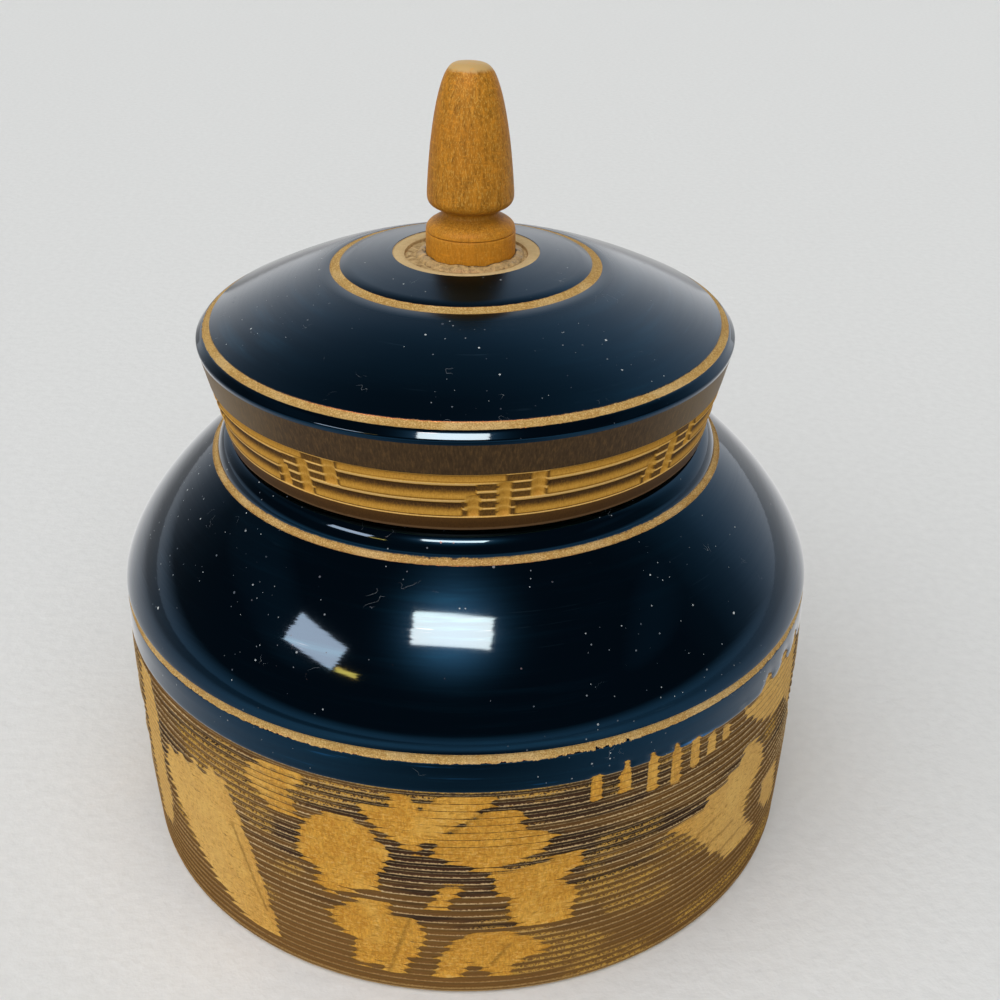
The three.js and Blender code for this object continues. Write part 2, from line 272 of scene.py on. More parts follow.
# One flower: the depth of each petal's cut, and its outline as degrees round the pot and height (mm)
FLOWER = (
    (0.50, ((-26, 27), (-24.5, 31.5), (-21, 34.7), (-17, 34.5), (-14.3, 33.2), (-12.3, 30.5), (-11.4, 28),
            (-13, 25), (-13.6, 22), (-16.5, 20.6), (-21, 19.3), (-23.8, 20.4), (-22, 22.6),
            (-25.2, 24.6))),
    (0.42, ((-16, 38.2), (-11.4, 37.9), (-11, 40.8), (-9.3, 40.6), (-7.6, 39.3), (-6.2, 37.4), (-4, 35.6),
            (-4, 32.6), (-6.6, 32.2), (-7.3, 30), (-9.3, 30.8), (-11, 32.2), (-13.3, 33.8))),
    (0.34, ((-6.6, 38.6), (-3.4, 40.4), (3.6, 40.6), (3.2, 38.8), (1.2, 37.4), (-1, 35.9), (-2.5, 34.2),
            (-5, 32.6), (-7, 35))),
    (0.34, ((-4.6, 32.2), (-2, 34), (0.2, 36.2), (2.6, 38.1), (6.1, 38.3), (7.6, 36.6), (7.4, 35),
            (9.6, 33.6), (12.2, 32.1), (10.2, 29.6), (6.5, 27.6), (2.5, 26.8), (-2, 28.2), (-5.2, 29.2))),
    (0.44, ((-4, 30.6), (2, 31.6), (8.5, 31.9), (11, 31.2), (9.6, 29.4), (6.5, 27.4), (2.5, 26.6),
            (-2, 28.1))),
    (0.48, ((3, 26.2), (5.6, 26.3), (7.2, 26.4), (11.6, 28), (16.6, 28.2), (16.2, 25.6), (13.3, 23),
            (16.1, 20.8), (15.6, 18.4), (15.2, 14.6), (12.4, 14), (8.6, 14.2), (5.6, 17), (6, 20.4),
            (4, 22.4))),
    (0.50, ((-5.1, 3.4), (-4.6, 8), (-2.6, 11.2), (0.8, 13.8), (5, 14), (8.2, 12.6), (12.2, 9.1),
            (9.4, 7.8), (6.7, 6), (6.2, 3.6), (3.6, 4.1), (1.6, 6.3), (-0.2, 6.6), (-1.4, 4.6),
            (-2.4, 3.4))),
    (0.50, ((-21.7, 14.4), (-19, 17), (-15.8, 19), (-11.8, 19), (-11.6, 16.7), (-8.4, 16.2), (-6.4, 13.6),
            (-7.4, 10.2), (-9, 6.3), (-10.6, 3.4), (-12.6, 3.4), (-13.6, 5.6), (-15.6, 4.6), (-17.6, 4.8),
            (-17.4, 9.6), (-19.6, 11.6))),
    (0.42, ((-6.1, 19.2), (-4.7, 21.8), (-3.4, 23.8), (-0.7, 23.8), (-2.2, 21.2), (-3.6, 19.2))),
)
# The leaf of long slanting strokes, its neighbour, a broken petal, the second flower and the notches' fan
REST = (
    (0.46, ((-56, 27), (-54.6, 30.3), (-52.2, 28.8), (-50.6, 31.8), (-48.2, 29.8), (-46.6, 32.6),
            (-44.4, 30.4), (-42.2, 33.6), (-40.6, 31.8), (-39.4, 33), (-36.8, 26.5), (-34.8, 20.5),
            (-32.8, 12.5), (-31.2, 3.2), (-36, 3.4), (-41.6, 6), (-48, 11.5), (-53, 17.5),
            (-56.4, 23.4))),
    (0.30, ((-66, 40), (-60.5, 39.4), (-58.8, 35), (-58.6, 28), (-58.4, 21), (-57.6, 16), (-60, 9),
            (-66, 6))),
    (0.27, ((-34.6, 38), (-31.6, 40.2), (-28, 40.8), (-24.4, 40.2), (-25, 38), (-27.6, 36.6), (-25.8, 35),
            (-25.9, 32.4), (-29.5, 31.8), (-32, 34), (-33.8, 35.6))),
    (0.50, ((31.6, 25.7), (34.6, 26), (38.6, 26.2), (39.2, 28), (42.8, 28.2), (44.4, 29.6), (46.6, 30),
            (47.6, 31.4), (48.6, 32.8), (52, 31.6), (54, 29), (55, 24.6), (52, 22.6), (49.8, 19.3),
            (51, 15.4), (55.6, 10), (51.6, 10.4), (46, 11), (44, 13), (40.6, 16.4), (39, 19), (37, 20.8),
            (35.6, 22.8), (33, 24.2))),
    (0.45, ((57, 14.8), (57, 19.2), (64, 18.4), (67, 9), (61, 10.4))),
    (0.30, ((45.8, 42.2), (48.4, 40.2), (50.8, 41), (53.6, 43.4), (55.2, 41), (57.6, 41.4), (60.2, 43.6),
            (61.8, 41), (64, 41.6), (66.6, 43.4), (68.6, 40.8), (68, 28), (63, 33.2), (57, 33.6),
            (52, 35.6), (48, 38.9))),
)
NOTCHES = ((18.2, 37.0, 42.6), (22.8, 37.2, 42.8), (27.3, 35.6, 43.1), (31.5, 35.0, 42.9), (35.2, 36.4, 42.7),
           (38.7, 37.4, 41.9), (41.9, 37.9, 41.7))
# Thin walls left standing between two strokes: from, to, half width
WALLS = (
    ((-1.6, 34.8), (3.4, 38.4), 0.1), ((-6.7, 41.2), (-5.6, 39.4), 0.3), ((-7.6, 15.0), (-10.2, 3.6), 0.05),
    ((-41.5, 24), (-38.2, 9), 0.02), ((-47.8, 29), (-46.4, 25), 0.06),
)
# Seams between neighbouring strokes, darkened with painted shade, as degrees and height of both ends
SEAMS = (
    (-8.8, 16.3, -12.3, 4.0), (6.0, 10.4, 3.4, 6.4), (-2.7, 33.9, 3.6, 39.0), (-38.8, 24.0, -33.6, 8.5),
    (36.1, 20.5, 42.0, 22.0), (38.7, 16.8, 47.0, 17.8), (42.3, 13.2, 50.3, 14.0),
)
# Golden streaks in the uncut band, given like the seams
GOLD_PATCHES = ((20.5, 28.9, 28.0, 28.9), (22.0, 14.6, 31.0, 13.4), (36.0, 4.0, 62.0, 5.0))
# The gouge's ragged ends: how steeply a cut sinks from its edge, and how far its teeth reach out
SAW_SLOPE, SAW_REACH = 0.26, 0.45
# Degrees: where the pattern starts, how far it goes before it repeats, and how far on its second flower is
PATTERN_START, HALF_ROUND, SECOND_FLOWER = -68, 180, 95
# A cut is worked out within this many degrees and millimetres of its outline
CLOSE_BY = 2


def pattern_turn(degrees):
    """The place in the pattern, in degrees, of a place round the pot."""
    return (degrees - PATTERN_START) % HALF_ROUND + PATTERN_START


def cuts_here(degrees, height, line):
    """Depth of the cuts of one half of the wall, in millimetres; its middle is at 0 degrees."""
    cut = np.zeros_like(degrees)
    saw = 0.42 + 0.22 * np.sin(line * 2.4) + 0.16 * np.sin(line * 5.1 + degrees * 0.35)
    second = [(depth, [(x + SECOND_FLOWER, z) for x, z in outline]) for depth, outline in FLOWER]
    for depth, outline in (*FLOWER, *REST, *second):
        xs, zs = zip(*outline)
        close = (degrees > min(xs) - CLOSE_BY) & (degrees < max(xs) + CLOSE_BY)
        close &= (height > min(zs) - CLOSE_BY) & (height < max(zs) + CLOSE_BY)
        room = inside_by(degrees[close], height[close], outline)
        cut[close] = np.maximum(cut[close], np.clip((room + SAW_REACH + saw[close]) * SAW_SLOPE, 0, depth))
    for start, end, half in WALLS:
        for shift in (0, SECOND_FLOWER) if abs(start[0]) < 14 else (0,):
            middle = np.array([start, end], float) + (shift, 0)
            close = (np.abs(degrees - middle[:, 0].mean()) < 12)
            away = -inside_by(degrees[close], height[close], (middle[0], middle[1], middle[1] + (0.01, 0)))
            cut[close] = np.minimum(cut[close], 0.22 + 0.9 * np.maximum(np.abs(away) - half, 0))
    return cut


def band_cut(degrees, height, pitch):
    """Depth of the gouge cuts in the lower wall, in millimetres; its pattern goes twice round."""
    line = np.floor(height / pitch)
    cut = cuts_here(pattern_turn(degrees), height, line)
    ripple = 0.05 * np.sin(degrees * 2.1 + height * 0.7) + 0.04 * np.sin(degrees * 5.3 - height * 1.9)
    return cut * (1 + ripple)


def notch_room(degrees, height):
    """How far inside the nearest of the pointed notches a place lies, in millimetres."""
    turned = pattern_turn(degrees)
    room = np.full_like(turned, -2.0)
    for c, low, high in NOTCHES:
        outline = ((c - 0.95, low), (c + 0.95, low + 0.1), (c + 0.85, high - 1.6), (c + 0.1, high + 0.3),
                   (c - 0.8, high - 1.8))
        close = (np.abs(turned - c) < 4) & (height > low - 3)
        room[close] = np.maximum(room[close], inside_by(turned[close], height[close], outline))
    return room


# Where the finer line lies in each channel, and how sharply the crests stand up
FINE_LINE, CREST_POWER = 0.29, 2.6


def line_sink(height, pitch, depth):
    """Depth of the turned lines: channels between narrow crests, each with a low ridge and a finer line."""
    phase = (height / pitch) % 1
    crest = np.abs(2 * phase - 1)
    ridge = 0.05 * np.clip(1 - crest / 0.25, 0, 1)
    finer = 0.12 * np.clip(1 - np.abs(phase - FINE_LINE) / 0.09, 0, 1)
    return depth * (1 - crest ** CREST_POWER) - ridge + finer


# Carved rim of the lid, in nine repeats. Its height has ten levels, with a turned line on every second one.
# Rows of long chips and upright flutes: levels from and to, and their reach or middle as a share of a repeat
RIM_LEVELS = 10
RIM_ROWS = ((0, 4, 0.225, 0.985), (4, 8, 0.385, 1.055), (8, 10, 0.385, 1.19))
RIM_FLUTES = ((0.032, 0.2, 5.2), (0.178, 0.1, 8.2), (0.344, 4.1, 9.8))
# Degrees of the three repeats in front, and which they are; the last is the first again, a turn further on
RIM_SPOTS = ((-35.3, -1), (7.35, 0), (47.7, 1), (324.7, 8))
# Tone of a row of chips from its foot up, 1 where its ridge is worn pale and low in the dark band under each
# ridge, which is stain and painted shade; the top row has its own
CHIP_SHADE = ((0, 0.04, 0.075, 0.12, 0.26, 0.4, 0.54, 0.62, 0.84, 0.88, 0.92),
              (1, 1, 0.08, 0.62, 0.66, 0.5, 0.26, 0.19, 0.19, 0.8, 1))
TOP_CHIP_SHADE = ((0, 0.07, 0.12, 0.2, 0.7, 0.86, 0.93), (1, 1, 0.15, 0.64, 0.56, 0.4, 0.05))


def rim_carving(degrees, height):
    """Depth in millimetres and tone, 0 for dark stain and painted shade to 1 for pale wood, of the lid's
    carved rim.
    """
    turned = (degrees - RIM_SPOTS[0][0]) % 360 + RIM_SPOTS[0][0]
    share = (np.interp(turned, *zip(*RIM_SPOTS)) + RIM_FLUTES[1][0]) % 1
    level = (height - RIM_LOW) / (RIM_HIGH - RIM_LOW) * RIM_LEVELS
    phase = (level / 2) % 1
    crest = np.abs(2 * phase - 1)
    inside = (level > 0) & (level < RIM_LEVELS)
    depth = np.where(inside, 0.2 * (1 - crest ** 3), 0)
    tone = np.where(inside, np.where(crest > 0.74, 0.86, 0.26), 0.12)
    for low, high, start, end in RIM_ROWS:
        along = np.where(share < end - 1, share + 1, share)
        ends = np.clip(np.minimum(along - start, end - along) / 0.012, 0, 1)
        up = (level - low) / (high - low)
        row = (up > 0.02) & (up < 0.98) & (ends > 0)
        chip = 0.5 * np.clip(np.minimum(up / 0.7, (1 - up) / 0.3), 0, 1) * ends
        shade = np.interp(up, *(TOP_CHIP_SHADE if high == RIM_LEVELS else CHIP_SHADE))
        depth = np.where(row, np.maximum(chip, 0.04), depth)
        tone = np.where(row & (ends > 0.5), shade, tone)
    for middle, low, high in RIM_FLUTES:
        reach = 0.036 + 0.006 * (crest - 0.5)
        across = np.abs((share - middle + 0.5) % 1 - 0.5) / reach
        ends = np.clip(np.minimum(level - low, high - level) / 0.7, 0, 1)
        flute = (across < 1) & (ends > 0)
        sink = 0.72 * (1 - across ** 2) * np.sqrt(ends) + 0.07 * (1 - crest)
        deeper = flute & (sink > depth * 0.8)
        depth = np.where(flute, np.maximum(depth, sink), depth)
        # Flutes toned lighter towards their sides: painted light
        tone = np.where(deeper, 0.58 + 0.16 * crest ** 2 + 0.06 * across, tone)
    return depth, tone


# Modelling

def start_clean():
    """Leaves edit mode and selects nothing."""
    if bpy.context.object and bpy.context.object.mode != "OBJECT":
        bpy.ops.object.mode_set(mode="OBJECT")
    bpy.ops.object.select_all(action="DESELECT")


def turn(name, outline, columns, merge=0.004):
    """Draws half an outline from one point and spins it round the axis into a closed turned piece."""
    start_clean()
    first = (outline[0][0] * MM, 0, outline[0][1] * MM)
    bpy.ops.mesh.primitive_plane_add(size=0.001, location=first)
    piece = bpy.context.object
    piece.name = piece.data.name = name
    bpy.ops.object.transform_apply(location=True, rotation=True, scale=True)
    bpy.ops.object.mode_set(mode="EDIT")
    bpy.ops.mesh.select_all(action="SELECT")
    bpy.ops.mesh.merge(type="CENTER")
    for before, after in zip(outline, outline[1:]):
        step = ((after[0] - before[0]) * MM, 0, (after[1] - before[1]) * MM)
        bpy.ops.mesh.extrude_region_move(TRANSFORM_OT_translate={"value": step})
    bpy.ops.mesh.select_all(action="SELECT")
    bpy.ops.mesh.spin(steps=columns, angle=2 * math.pi, center=(0, 0, 0), axis=(0, 0, 1))
    bpy.ops.mesh.select_all(action="SELECT")
    bpy.ops.mesh.remove_doubles(threshold=merge * MM)
    bpy.ops.mesh.normals_make_consistent(inside=False)
    bpy.ops.object.mode_set(mode="OBJECT")
    return piece


def places(piece):
    """Every point of a piece as radius, degrees from the front (positive to the right) and height, in mm."""
    flat = np.empty(len(piece.data.vertices) * 3)
    piece.data.vertices.foreach_get("co", flat)
    x, y, z = (flat.reshape(-1, 3) / MM).T
    return np.hypot(x, y), np.degrees(np.arctan2(x, -y)), z


def move_to(piece, radius, degrees, height, shift=0.0):
    """Puts every point of a piece at its radius, degrees and height, and all of it to the right by shift."""
    angle = np.radians(degrees)
    points = np.stack([radius * np.sin(angle) + shift, -radius * np.cos(angle), height], -1) * MM
    piece.data.vertices.foreach_set("co", points.ravel())
    piece.data.update()


def keep_on_points(piece, name, values):
    """Keeps a value on every point of a piece, for its finish to read."""
    layer = piece.data.attributes.new(name=name, type="FLOAT", domain="POINT")
    layer.data.foreach_set("value", np.ascontiguousarray(values, dtype=np.float32))


def paint_faces(piece, outline, first, last, outside, inside):
    """The faces between two rows of the outline take the outside finish, and the rest the inside one."""
    piece.data.materials.append(outside)
    piece.data.materials.append(inside)
    rows = np.array(outline)
    middles = (rows[1:] + rows[:-1]) / 2
    centres = np.empty(len(piece.data.polygons) * 3)
    piece.data.polygons.foreach_get("center", centres)
    centres = centres.reshape(-1, 3) / MM
    spots = np.stack([np.hypot(centres[:, 0], centres[:, 1]), centres[:, 2]], -1)
    nearest = np.concatenate([((part[:, None] - middles[None]) ** 2).sum(-1).argmin(1)
                              for part in np.array_split(spots, max(1, len(spots) // 8000))])
    slots = np.where((nearest >= first) & (nearest < last), 0, 1).astype(np.int32)
    piece.data.polygons.foreach_set("material_index", slots)


def finish_piece(piece, body, node, smooth=40):
    """Smooths a piece, hangs it on the body it rides and hides the node it replaces."""
    start_clean()
    piece.select_set(True)
    bpy.context.view_layer.objects.active = piece
    bpy.ops.object.shade_smooth_by_angle(angle=math.radians(smooth))
    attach(piece, body)
    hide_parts(node)


# Shader nodes

def feed(tree, target, value):
    """Gives an input a value, or the output of another node."""
    if isinstance(value, bpy.types.NodeSocket):
        tree.links.new(value, target)
    elif target.type == "RGBA" and len(value) == 3:
        target.default_value = (*value, 1)
    else:
        target.default_value = value


def put(tree, kind, inputs=None, **settings):
    """Places a node with its settings and inputs."""
    made = tree.nodes.new(kind)
    for key, value in settings.items():
        setattr(made, key, value)
    for key, value in (inputs or {}).items():
        feed(tree, made.inputs[key], value)
    return made


def sums(tree, operation, first, second=0.0, third=0.0, clamp=False):
    made = put(tree, "ShaderNodeMath", {0: first, 1: second, 2: third}, operation=operation, use_clamp=clamp)
    return made.outputs[0]


def plus(tree, first, second, clamp=False):
    return sums(tree, "ADD", first, second, clamp=clamp)


def minus(tree, first, second, clamp=False):
    return sums(tree, "SUBTRACT", first, second, clamp=clamp)


def times(tree, first, second, clamp=False):
    return sums(tree, "MULTIPLY", first, second, clamp=clamp)


def times_plus(tree, first, second, third):
    """The first value times the second, plus the third."""
    return sums(tree, "MULTIPLY_ADD", first, second, third)


def most(tree, first, second, clamp=False):
    return sums(tree, "MAXIMUM", first, second, clamp=clamp)


def apart(tree, first, second):
    """How far two values are from each other."""
    return sums(tree, "ABSOLUTE", minus(tree, first, second))


def shaken(tree, value, wander, amount):
    """A value moved up and down by a noise whose middle is a half."""
    return times_plus(tree, minus(tree, wander, 0.5), amount, value)


def vectors(tree, operation, first, second=(0, 0, 0)):
    return put(tree, "ShaderNodeVectorMath", {0: first, 1: second}, operation=operation).outputs[0]


def steps_of(tree, vector):
    """The X, Y and Z of a vector."""
    return put(tree, "ShaderNodeSeparateXYZ", {0: vector}).outputs


def flat_distance(tree, first, second):
    """The long side of a right triangle, from its two short ones."""
    return sums(tree, "SQRT", plus(tree, sums(tree, "POWER", first, 2), sums(tree, "POWER", second, 2)))


def from_points(tree, name):
    """A value that the piece's points carry."""
    return put(tree, "ShaderNodeAttribute", attribute_name=name).outputs["Fac"]


def shifted(colour, red, green, blue):
    """A colour with each of its parts multiplied."""
    return colour[0] * red, colour[1] * green, colour[2] * blue


def between(tree, value, low, high, to_low=0.0, to_high=1.0):
    """A soft step from to_low, at low, to to_high, at high."""
    ends = {"From Min": low, "From Max": high, "To Min": to_low, "To Max": to_high}
    made = put(tree, "ShaderNodeMapRange", {"Value": value, **ends}, interpolation_type="SMOOTHSTEP")
    return made.outputs["Result"]


def near(tree, value, middle, half, soft):
    """1 where a value lies within half of the middle, falling to 0 over soft."""
    past = minus(tree, apart(tree, value, middle), half)
    return between(tree, past, -soft, soft, 1.0, 0.0)


def mix(tree, factor, first, second, mode="MIX"):
    made = put(tree, "ShaderNodeMix", data_type="RGBA", blend_type=mode)
    feed(tree, made.inputs[0], factor)
    feed(tree, made.inputs[6], first)
    feed(tree, made.inputs[7], second)
    return made.outputs[2]


def mix_value(tree, factor, first, second):
    made = put(tree, "ShaderNodeMix", data_type="FLOAT")
    feed(tree, made.inputs[0], factor)
    feed(tree, made.inputs[2], first)
    feed(tree, made.inputs[3], second)
    return made.outputs[0]


def stretched(tree, vector, across, up):
    """A place with its flat and upright steps multiplied, which draws a noise out."""
    return vectors(tree, "MULTIPLY", vector, (across, across, up))


def noise(tree, vector, scale=1.0, detail=2.0, roughness=0.5, distortion=0.0):
    """Soft noise with its middle at a half; places are in millimetres."""
    made = put(tree, "ShaderNodeTexNoise", {"Vector": vector, "Scale": scale, "Detail": detail,
               "Roughness": roughness, "Distortion": distortion})
    return made.outputs[0]


def ramp(tree, factor, stops):
    """A colour ramp; each stop is a place and a colour."""
    made = put(tree, "ShaderNodeValToRGB", {0: factor})
    elements = made.color_ramp.elements
    while len(elements) < len(stops):
        elements.new(0.5)
    for element, (place, colour) in zip(elements, stops):
        element.position = place
        element.color = (*colour, 1)
    return made.outputs[0]


def new_group(name, inputs, outputs):
    """A shader node group with named sockets. Inputs are name and default, outputs name and kind."""
    tree = bpy.data.node_groups.new(name, "ShaderNodeTree")
    for label, default in inputs:
        socket = tree.interface.new_socket(name=label, in_out="INPUT", socket_type="NodeSocketFloat")
        socket.default_value = default
    for label, kind in outputs:
        tree.interface.new_socket(name=label, in_out="OUTPUT", socket_type=f"NodeSocket{kind}")
    return tree, put(tree, "NodeGroupInput").outputs, put(tree, "NodeGroupOutput").inputs


def group(tree, name, values=None):
    """Places a node group and gives its outputs."""
    return put(tree, "ShaderNodeGroup", values, node_tree=bpy.data.node_groups[name]).outputs


def place_group():
    """Radius and height on a turned piece in millimetres, and the place itself in millimetres."""
    outputs = (("Radius", "Float"), ("Height", "Float"), ("Place", "Vector"))
    tree, _, out = new_group("Turned Place", (), outputs)
    where = put(tree, "ShaderNodeTexCoord").outputs["Object"]
    place = vectors(tree, "MULTIPLY", where, (1 / MM, 1 / MM, 1 / MM))
    parts = steps_of(tree, place)
    feed(tree, out["Radius"], flat_distance(tree, parts[0], parts[1]))
    feed(tree, out["Height"], parts[2])
    feed(tree, out["Place"], place)
    return tree


def dust_group():
    """White specks, short hairs of lint and fine scratches on lacquer."""
    tree, into, out = new_group("Dust And Scratches", (("Specks", 0.5), ("Hairs", 0.5), ("Scratches", 0.5)),
                                (("Dust", "Float"), ("Scratch", "Float")))
    place = group(tree, "Turned Place")["Place"]
    specks = 0.0
    crowd = between(tree, noise(tree, place, 0.045, 1.0, 0.5), 0.42, 0.64, 0.1, 1.0)
    for scale, largest, many in ((1.1, 0.09, 0.9), (0.55, 0.14, 0.9), (0.3, 0.22, 0.7)):
        cells = put(tree, "ShaderNodeTexVoronoi", {"Vector": place, "Scale": scale, "Randomness": 1.0})
        lot = put(tree, "ShaderNodeSeparateColor", {0: cells.outputs["Color"]}).outputs
        size = times_plus(tree, sums(tree, "POWER", lot[0], 3.0), largest, 0.06)
        past = minus(tree, cells.outputs["Distance"], times(tree, size, scale))
        speck = between(tree, past, 0.0, 0.03 * scale, 1.0, 0.0)
        kept = sums(tree, "LESS_THAN", lot[1], times(tree, times(tree, crowd, many), into["Specks"]))
        bright = times_plus(tree, sums(tree, "POWER", lot[2], 2.0), 0.8, 0.06)
        specks = most(tree, specks, times(tree, times(tree, speck, kept), bright))
    curl = noise(tree, place, 0.42, 1.0, 0.4, 0.4)
    patch = noise(tree, place, 0.19, 1.0, 0.5)
    thread = near(tree, curl, 0.5, 0.0012, 0.0014)
    hair = times(tree, thread, between(tree, patch, 0.68, 0.73))
    feed(tree, out["Dust"], most(tree, specks, times(tree, hair, into["Hairs"]), clamp=True))
    rings = noise(tree, stretched(tree, place, 0.05, 7.0), 1.0, 2.0, 0.6)
    broken = noise(tree, place, 0.16, 2.0, 0.6)
    lines = times(tree, between(tree, rings, 0.66, 0.72), between(tree, broken, 0.5, 0.62))
    feed(tree, out["Scratch"], times(tree, lines, into["Scratches"]))
    return tree


def lacquer_group():
    """Brushed lacquer: where it is thin, its fine ripples, and how far the brush marks turn it aside."""
    tree, into, out = new_group("Brushed Lacquer", (("Streaks", 0.5),),
                                (("Thin", "Float"), ("Ripple", "Float"), ("Aside", "Float")))
    place = group(tree, "Turned Place")["Place"]
    brushed = noise(tree, stretched(tree, place, 0.035, 0.9), 1.0, 4.0, 0.6)
    cloud = noise(tree, place, 0.03, 2.0, 0.5)
    thin = times(tree, between(tree, brushed, 0.45, 0.8), between(tree, cloud, 0.4, 0.7))
    feed(tree, out["Thin"], times(tree, thin, into["Streaks"], clamp=True))
    broad = noise(tree, stretched(tree, place, 0.02, 2.4), 1.0, 3.0, 0.55)
    fine = noise(tree, stretched(tree, place, 0.12, 9.0), 1.0, 2.0, 0.6)
    feed(tree, out["Ripple"], times_plus(tree, fine, 0.22, broad))
    marks = noise(tree, stretched(tree, place, 0.06, 6.5), 1.0, 2.0, 0.6)
    feed(tree, out["Aside"], minus(tree, marks, 0.5))
    return tree


def fibre_group():
    """Fine upright grain of the wood: a value from 0 to 1, with coarser drifts of tone and short mottles."""
    tree, into, out = new_group("Wood Fibre", (("Fineness", 4.0), ("Drift", 0.3)),
                                (("Fibre", "Float"), ("Drift", "Float"), ("Mottle", "Float")))
    place = group(tree, "Turned Place")["Place"]
    long_place = stretched(tree, place, 1.0, 0.3)
    feed(tree, out["Fibre"], noise(tree, long_place, into["Fineness"], 4.0, 0.62, 0.1))
    feed(tree, out["Drift"], noise(tree, place, into["Drift"], 3.0, 0.5, 0.2))
    feed(tree, out["Mottle"], noise(tree, stretched(tree, place, 1.0, 0.7), 1.7, 4.0, 0.7, 0.5))
    return tree


def near_line_group():
    """Distance in mm from a short line on the pot's wall, given as degrees and height of its ends."""
    inputs = (("From", 0.0), ("From Height", 0.0), ("To", 0.0), ("To Height", 0.0))
    tree, into, out = new_group("Near Line", inputs, (("Away", "Float"),))
    here = group(tree, "Turned Place")
    parts = steps_of(tree, here["Place"])
    turned = times(tree, sums(tree, "ARCTAN2", parts[0], times(tree, parts[1], -1.0)), 180 / math.pi)
    turned = sums(tree, "WRAP", turned, PATTERN_START + HALF_ROUND, PATTERN_START)
    across = minus(tree, turned, into["From"])
    up = minus(tree, here["Height"], into["From Height"])
    along = minus(tree, into["To"], into["From"])
    rise = minus(tree, into["To Height"], into["From Height"])
    length = times_plus(tree, along, along, times(tree, rise, rise))
    reach = times_plus(tree, across, along, times(tree, up, rise))
    share = sums(tree, "DIVIDE", reach, length, clamp=True)
    left = minus(tree, across, times(tree, share, along))
    high = minus(tree, up, times(tree, share, rise))
    feed(tree, out["Away"], flat_distance(tree, left, high))
    return tree


def nearest_line(tree, lines):
    """Distance in millimetres from the nearest of several short lines."""
    away = 99.0
    for start, low, end, high in lines:
        ends = {"From": start, "From Height": low, "To": end, "To Height": high}
        away = sums(tree, "MINIMUM", away, group(tree, "Near Line", ends)["Away"])
    return away


def ragged_group():
    """Edge noise for places where a tool broke through the lacquer."""
    tree, into, out = new_group("Ragged Edge", (("Size", 0.3),), (("Offset", "Float"),))
    place = group(tree, "Turned Place")["Place"]
    coarse = noise(tree, stretched(tree, place, 1.0, 0.7), 0.9, 3.0, 0.75)
    gated = between(tree, noise(tree, place, 0.07, 1.0, 0.5), 0.42, 0.62, 0.25, 1.0)
    offset = times(tree, minus(tree, coarse, 0.47), times(tree, into["Size"], gated))
    feed(tree, out["Offset"], times(tree, offset, 3.0))
    return tree


def new_material(name):
    """A material with only a Principled shader; gives the material, its nodes and the shader."""
    material = bpy.data.materials.new(name)
    material.use_nodes = True
    tree = material.node_tree
    tree.nodes.clear()
    shader = put(tree, "ShaderNodeBsdfPrincipled")
    surface = put(tree, "ShaderNodeOutputMaterial")
    tree.links.new(shader.outputs[0], surface.inputs[0])
    return material, tree, shader


def raised(tree, shader, layers, brushed=None):
    """Chains bumps, each a height in millimetres and a strength. Brush marks turn the normal a little."""
    normal = None
    for height, strength in layers:
        bump = put(tree, "ShaderNodeBump", {"Height": height, "Strength": strength, "Distance": MM})
        if normal:
            feed(tree, bump.inputs["Normal"], normal)
        normal = bump.outputs[0]
    if brushed:
        place = group(tree, "Turned Place")["Place"]
        aside = vectors(tree, "NORMALIZE", vectors(tree, "CROSS_PRODUCT", place, (0, 0, 1)))
        turn_by = put(tree, "ShaderNodeVectorMath", {0: aside, "Scale": brushed}, operation="SCALE")
        normal = vectors(tree, "NORMALIZE", vectors(tree, "ADD", normal, turn_by.outputs[0]))
    feed(tree, shader.inputs["Normal"], normal)


# Fixed colours of the finishes: dust, scratches, grit, worn wood, painted sheen, old glue and the lid's
# carved rim
DUST_COLOUR, SCRATCH_COLOUR = (0.56, 0.60, 0.60), (0.10, 0.20, 0.30)
PALE_GRIT, DARK_GRIT, GROOVE_COLOUR = (0.70, 0.50, 0.22), (0.28, 0.15, 0.04), (0.10, 0.05, 0.02)
WORN_CRESTS, LOW_CREST = ((0.38, 0.25, 0.105), (0.58, 0.45, 0.25)), (0.32, 0.19, 0.06)
GOLDEN_FLECK, FOOT_EDGE = (0.44, 0.26, 0.05), (0.42, 0.28, 0.11)
NOTCH_LINE, SHEEN_WOOD, PALE_CHATTER = (0.10, 0.035, 0.015), (0.66, 0.45, 0.16), (0.72, 0.47, 0.15)
SEAT_WOODS = ((0.50, 0.36, 0.17), (0.70, 0.56, 0.32))
OLD_GLUE = ((0.3, (0.16, 0.10, 0.04)), (0.46, (0.42, 0.29, 0.13)), (0.68, (0.62, 0.47, 0.24)))
SHEEN_BAND = (0.28, 0.20, 0.10)
RIM_TONES = ((0.02, (0.014, 0.006, 0.001)), (0.2, (0.060, 0.029, 0.008)), (0.42, (0.24, 0.118, 0.016)),
             (0.6, (0.43, 0.22, 0.030)), (0.74, (0.56, 0.31, 0.055)), (0.92, (0.70, 0.46, 0.17)))
RIM_FOOT_WOODS = ((0.022, 0.010, 0.003), (0.092, 0.042, 0.010))
RIM_FOOT_GOLD, RIM_FOOT_CHIP = (0.24, 0.115, 0.022), (0.15, 0.085, 0.04)


def gloss(tree, shader, bare, matt, smooth):
    """The photograph's lacquer mirrors blue where it is looked at steeply and white at a flat angle, as a
    dark metal does and clear gloss doesn't. Where the surface is bare it is plain wood, as rough as matt."""
    feed(tree, shader.inputs["Metallic"], minus(tree, 1.0, bare, clamp=True))
    feed(tree, shader.inputs["Roughness"], mix_value(tree, bare, smooth, matt))
    shader.inputs["Specular IOR Level"].default_value = 0.1


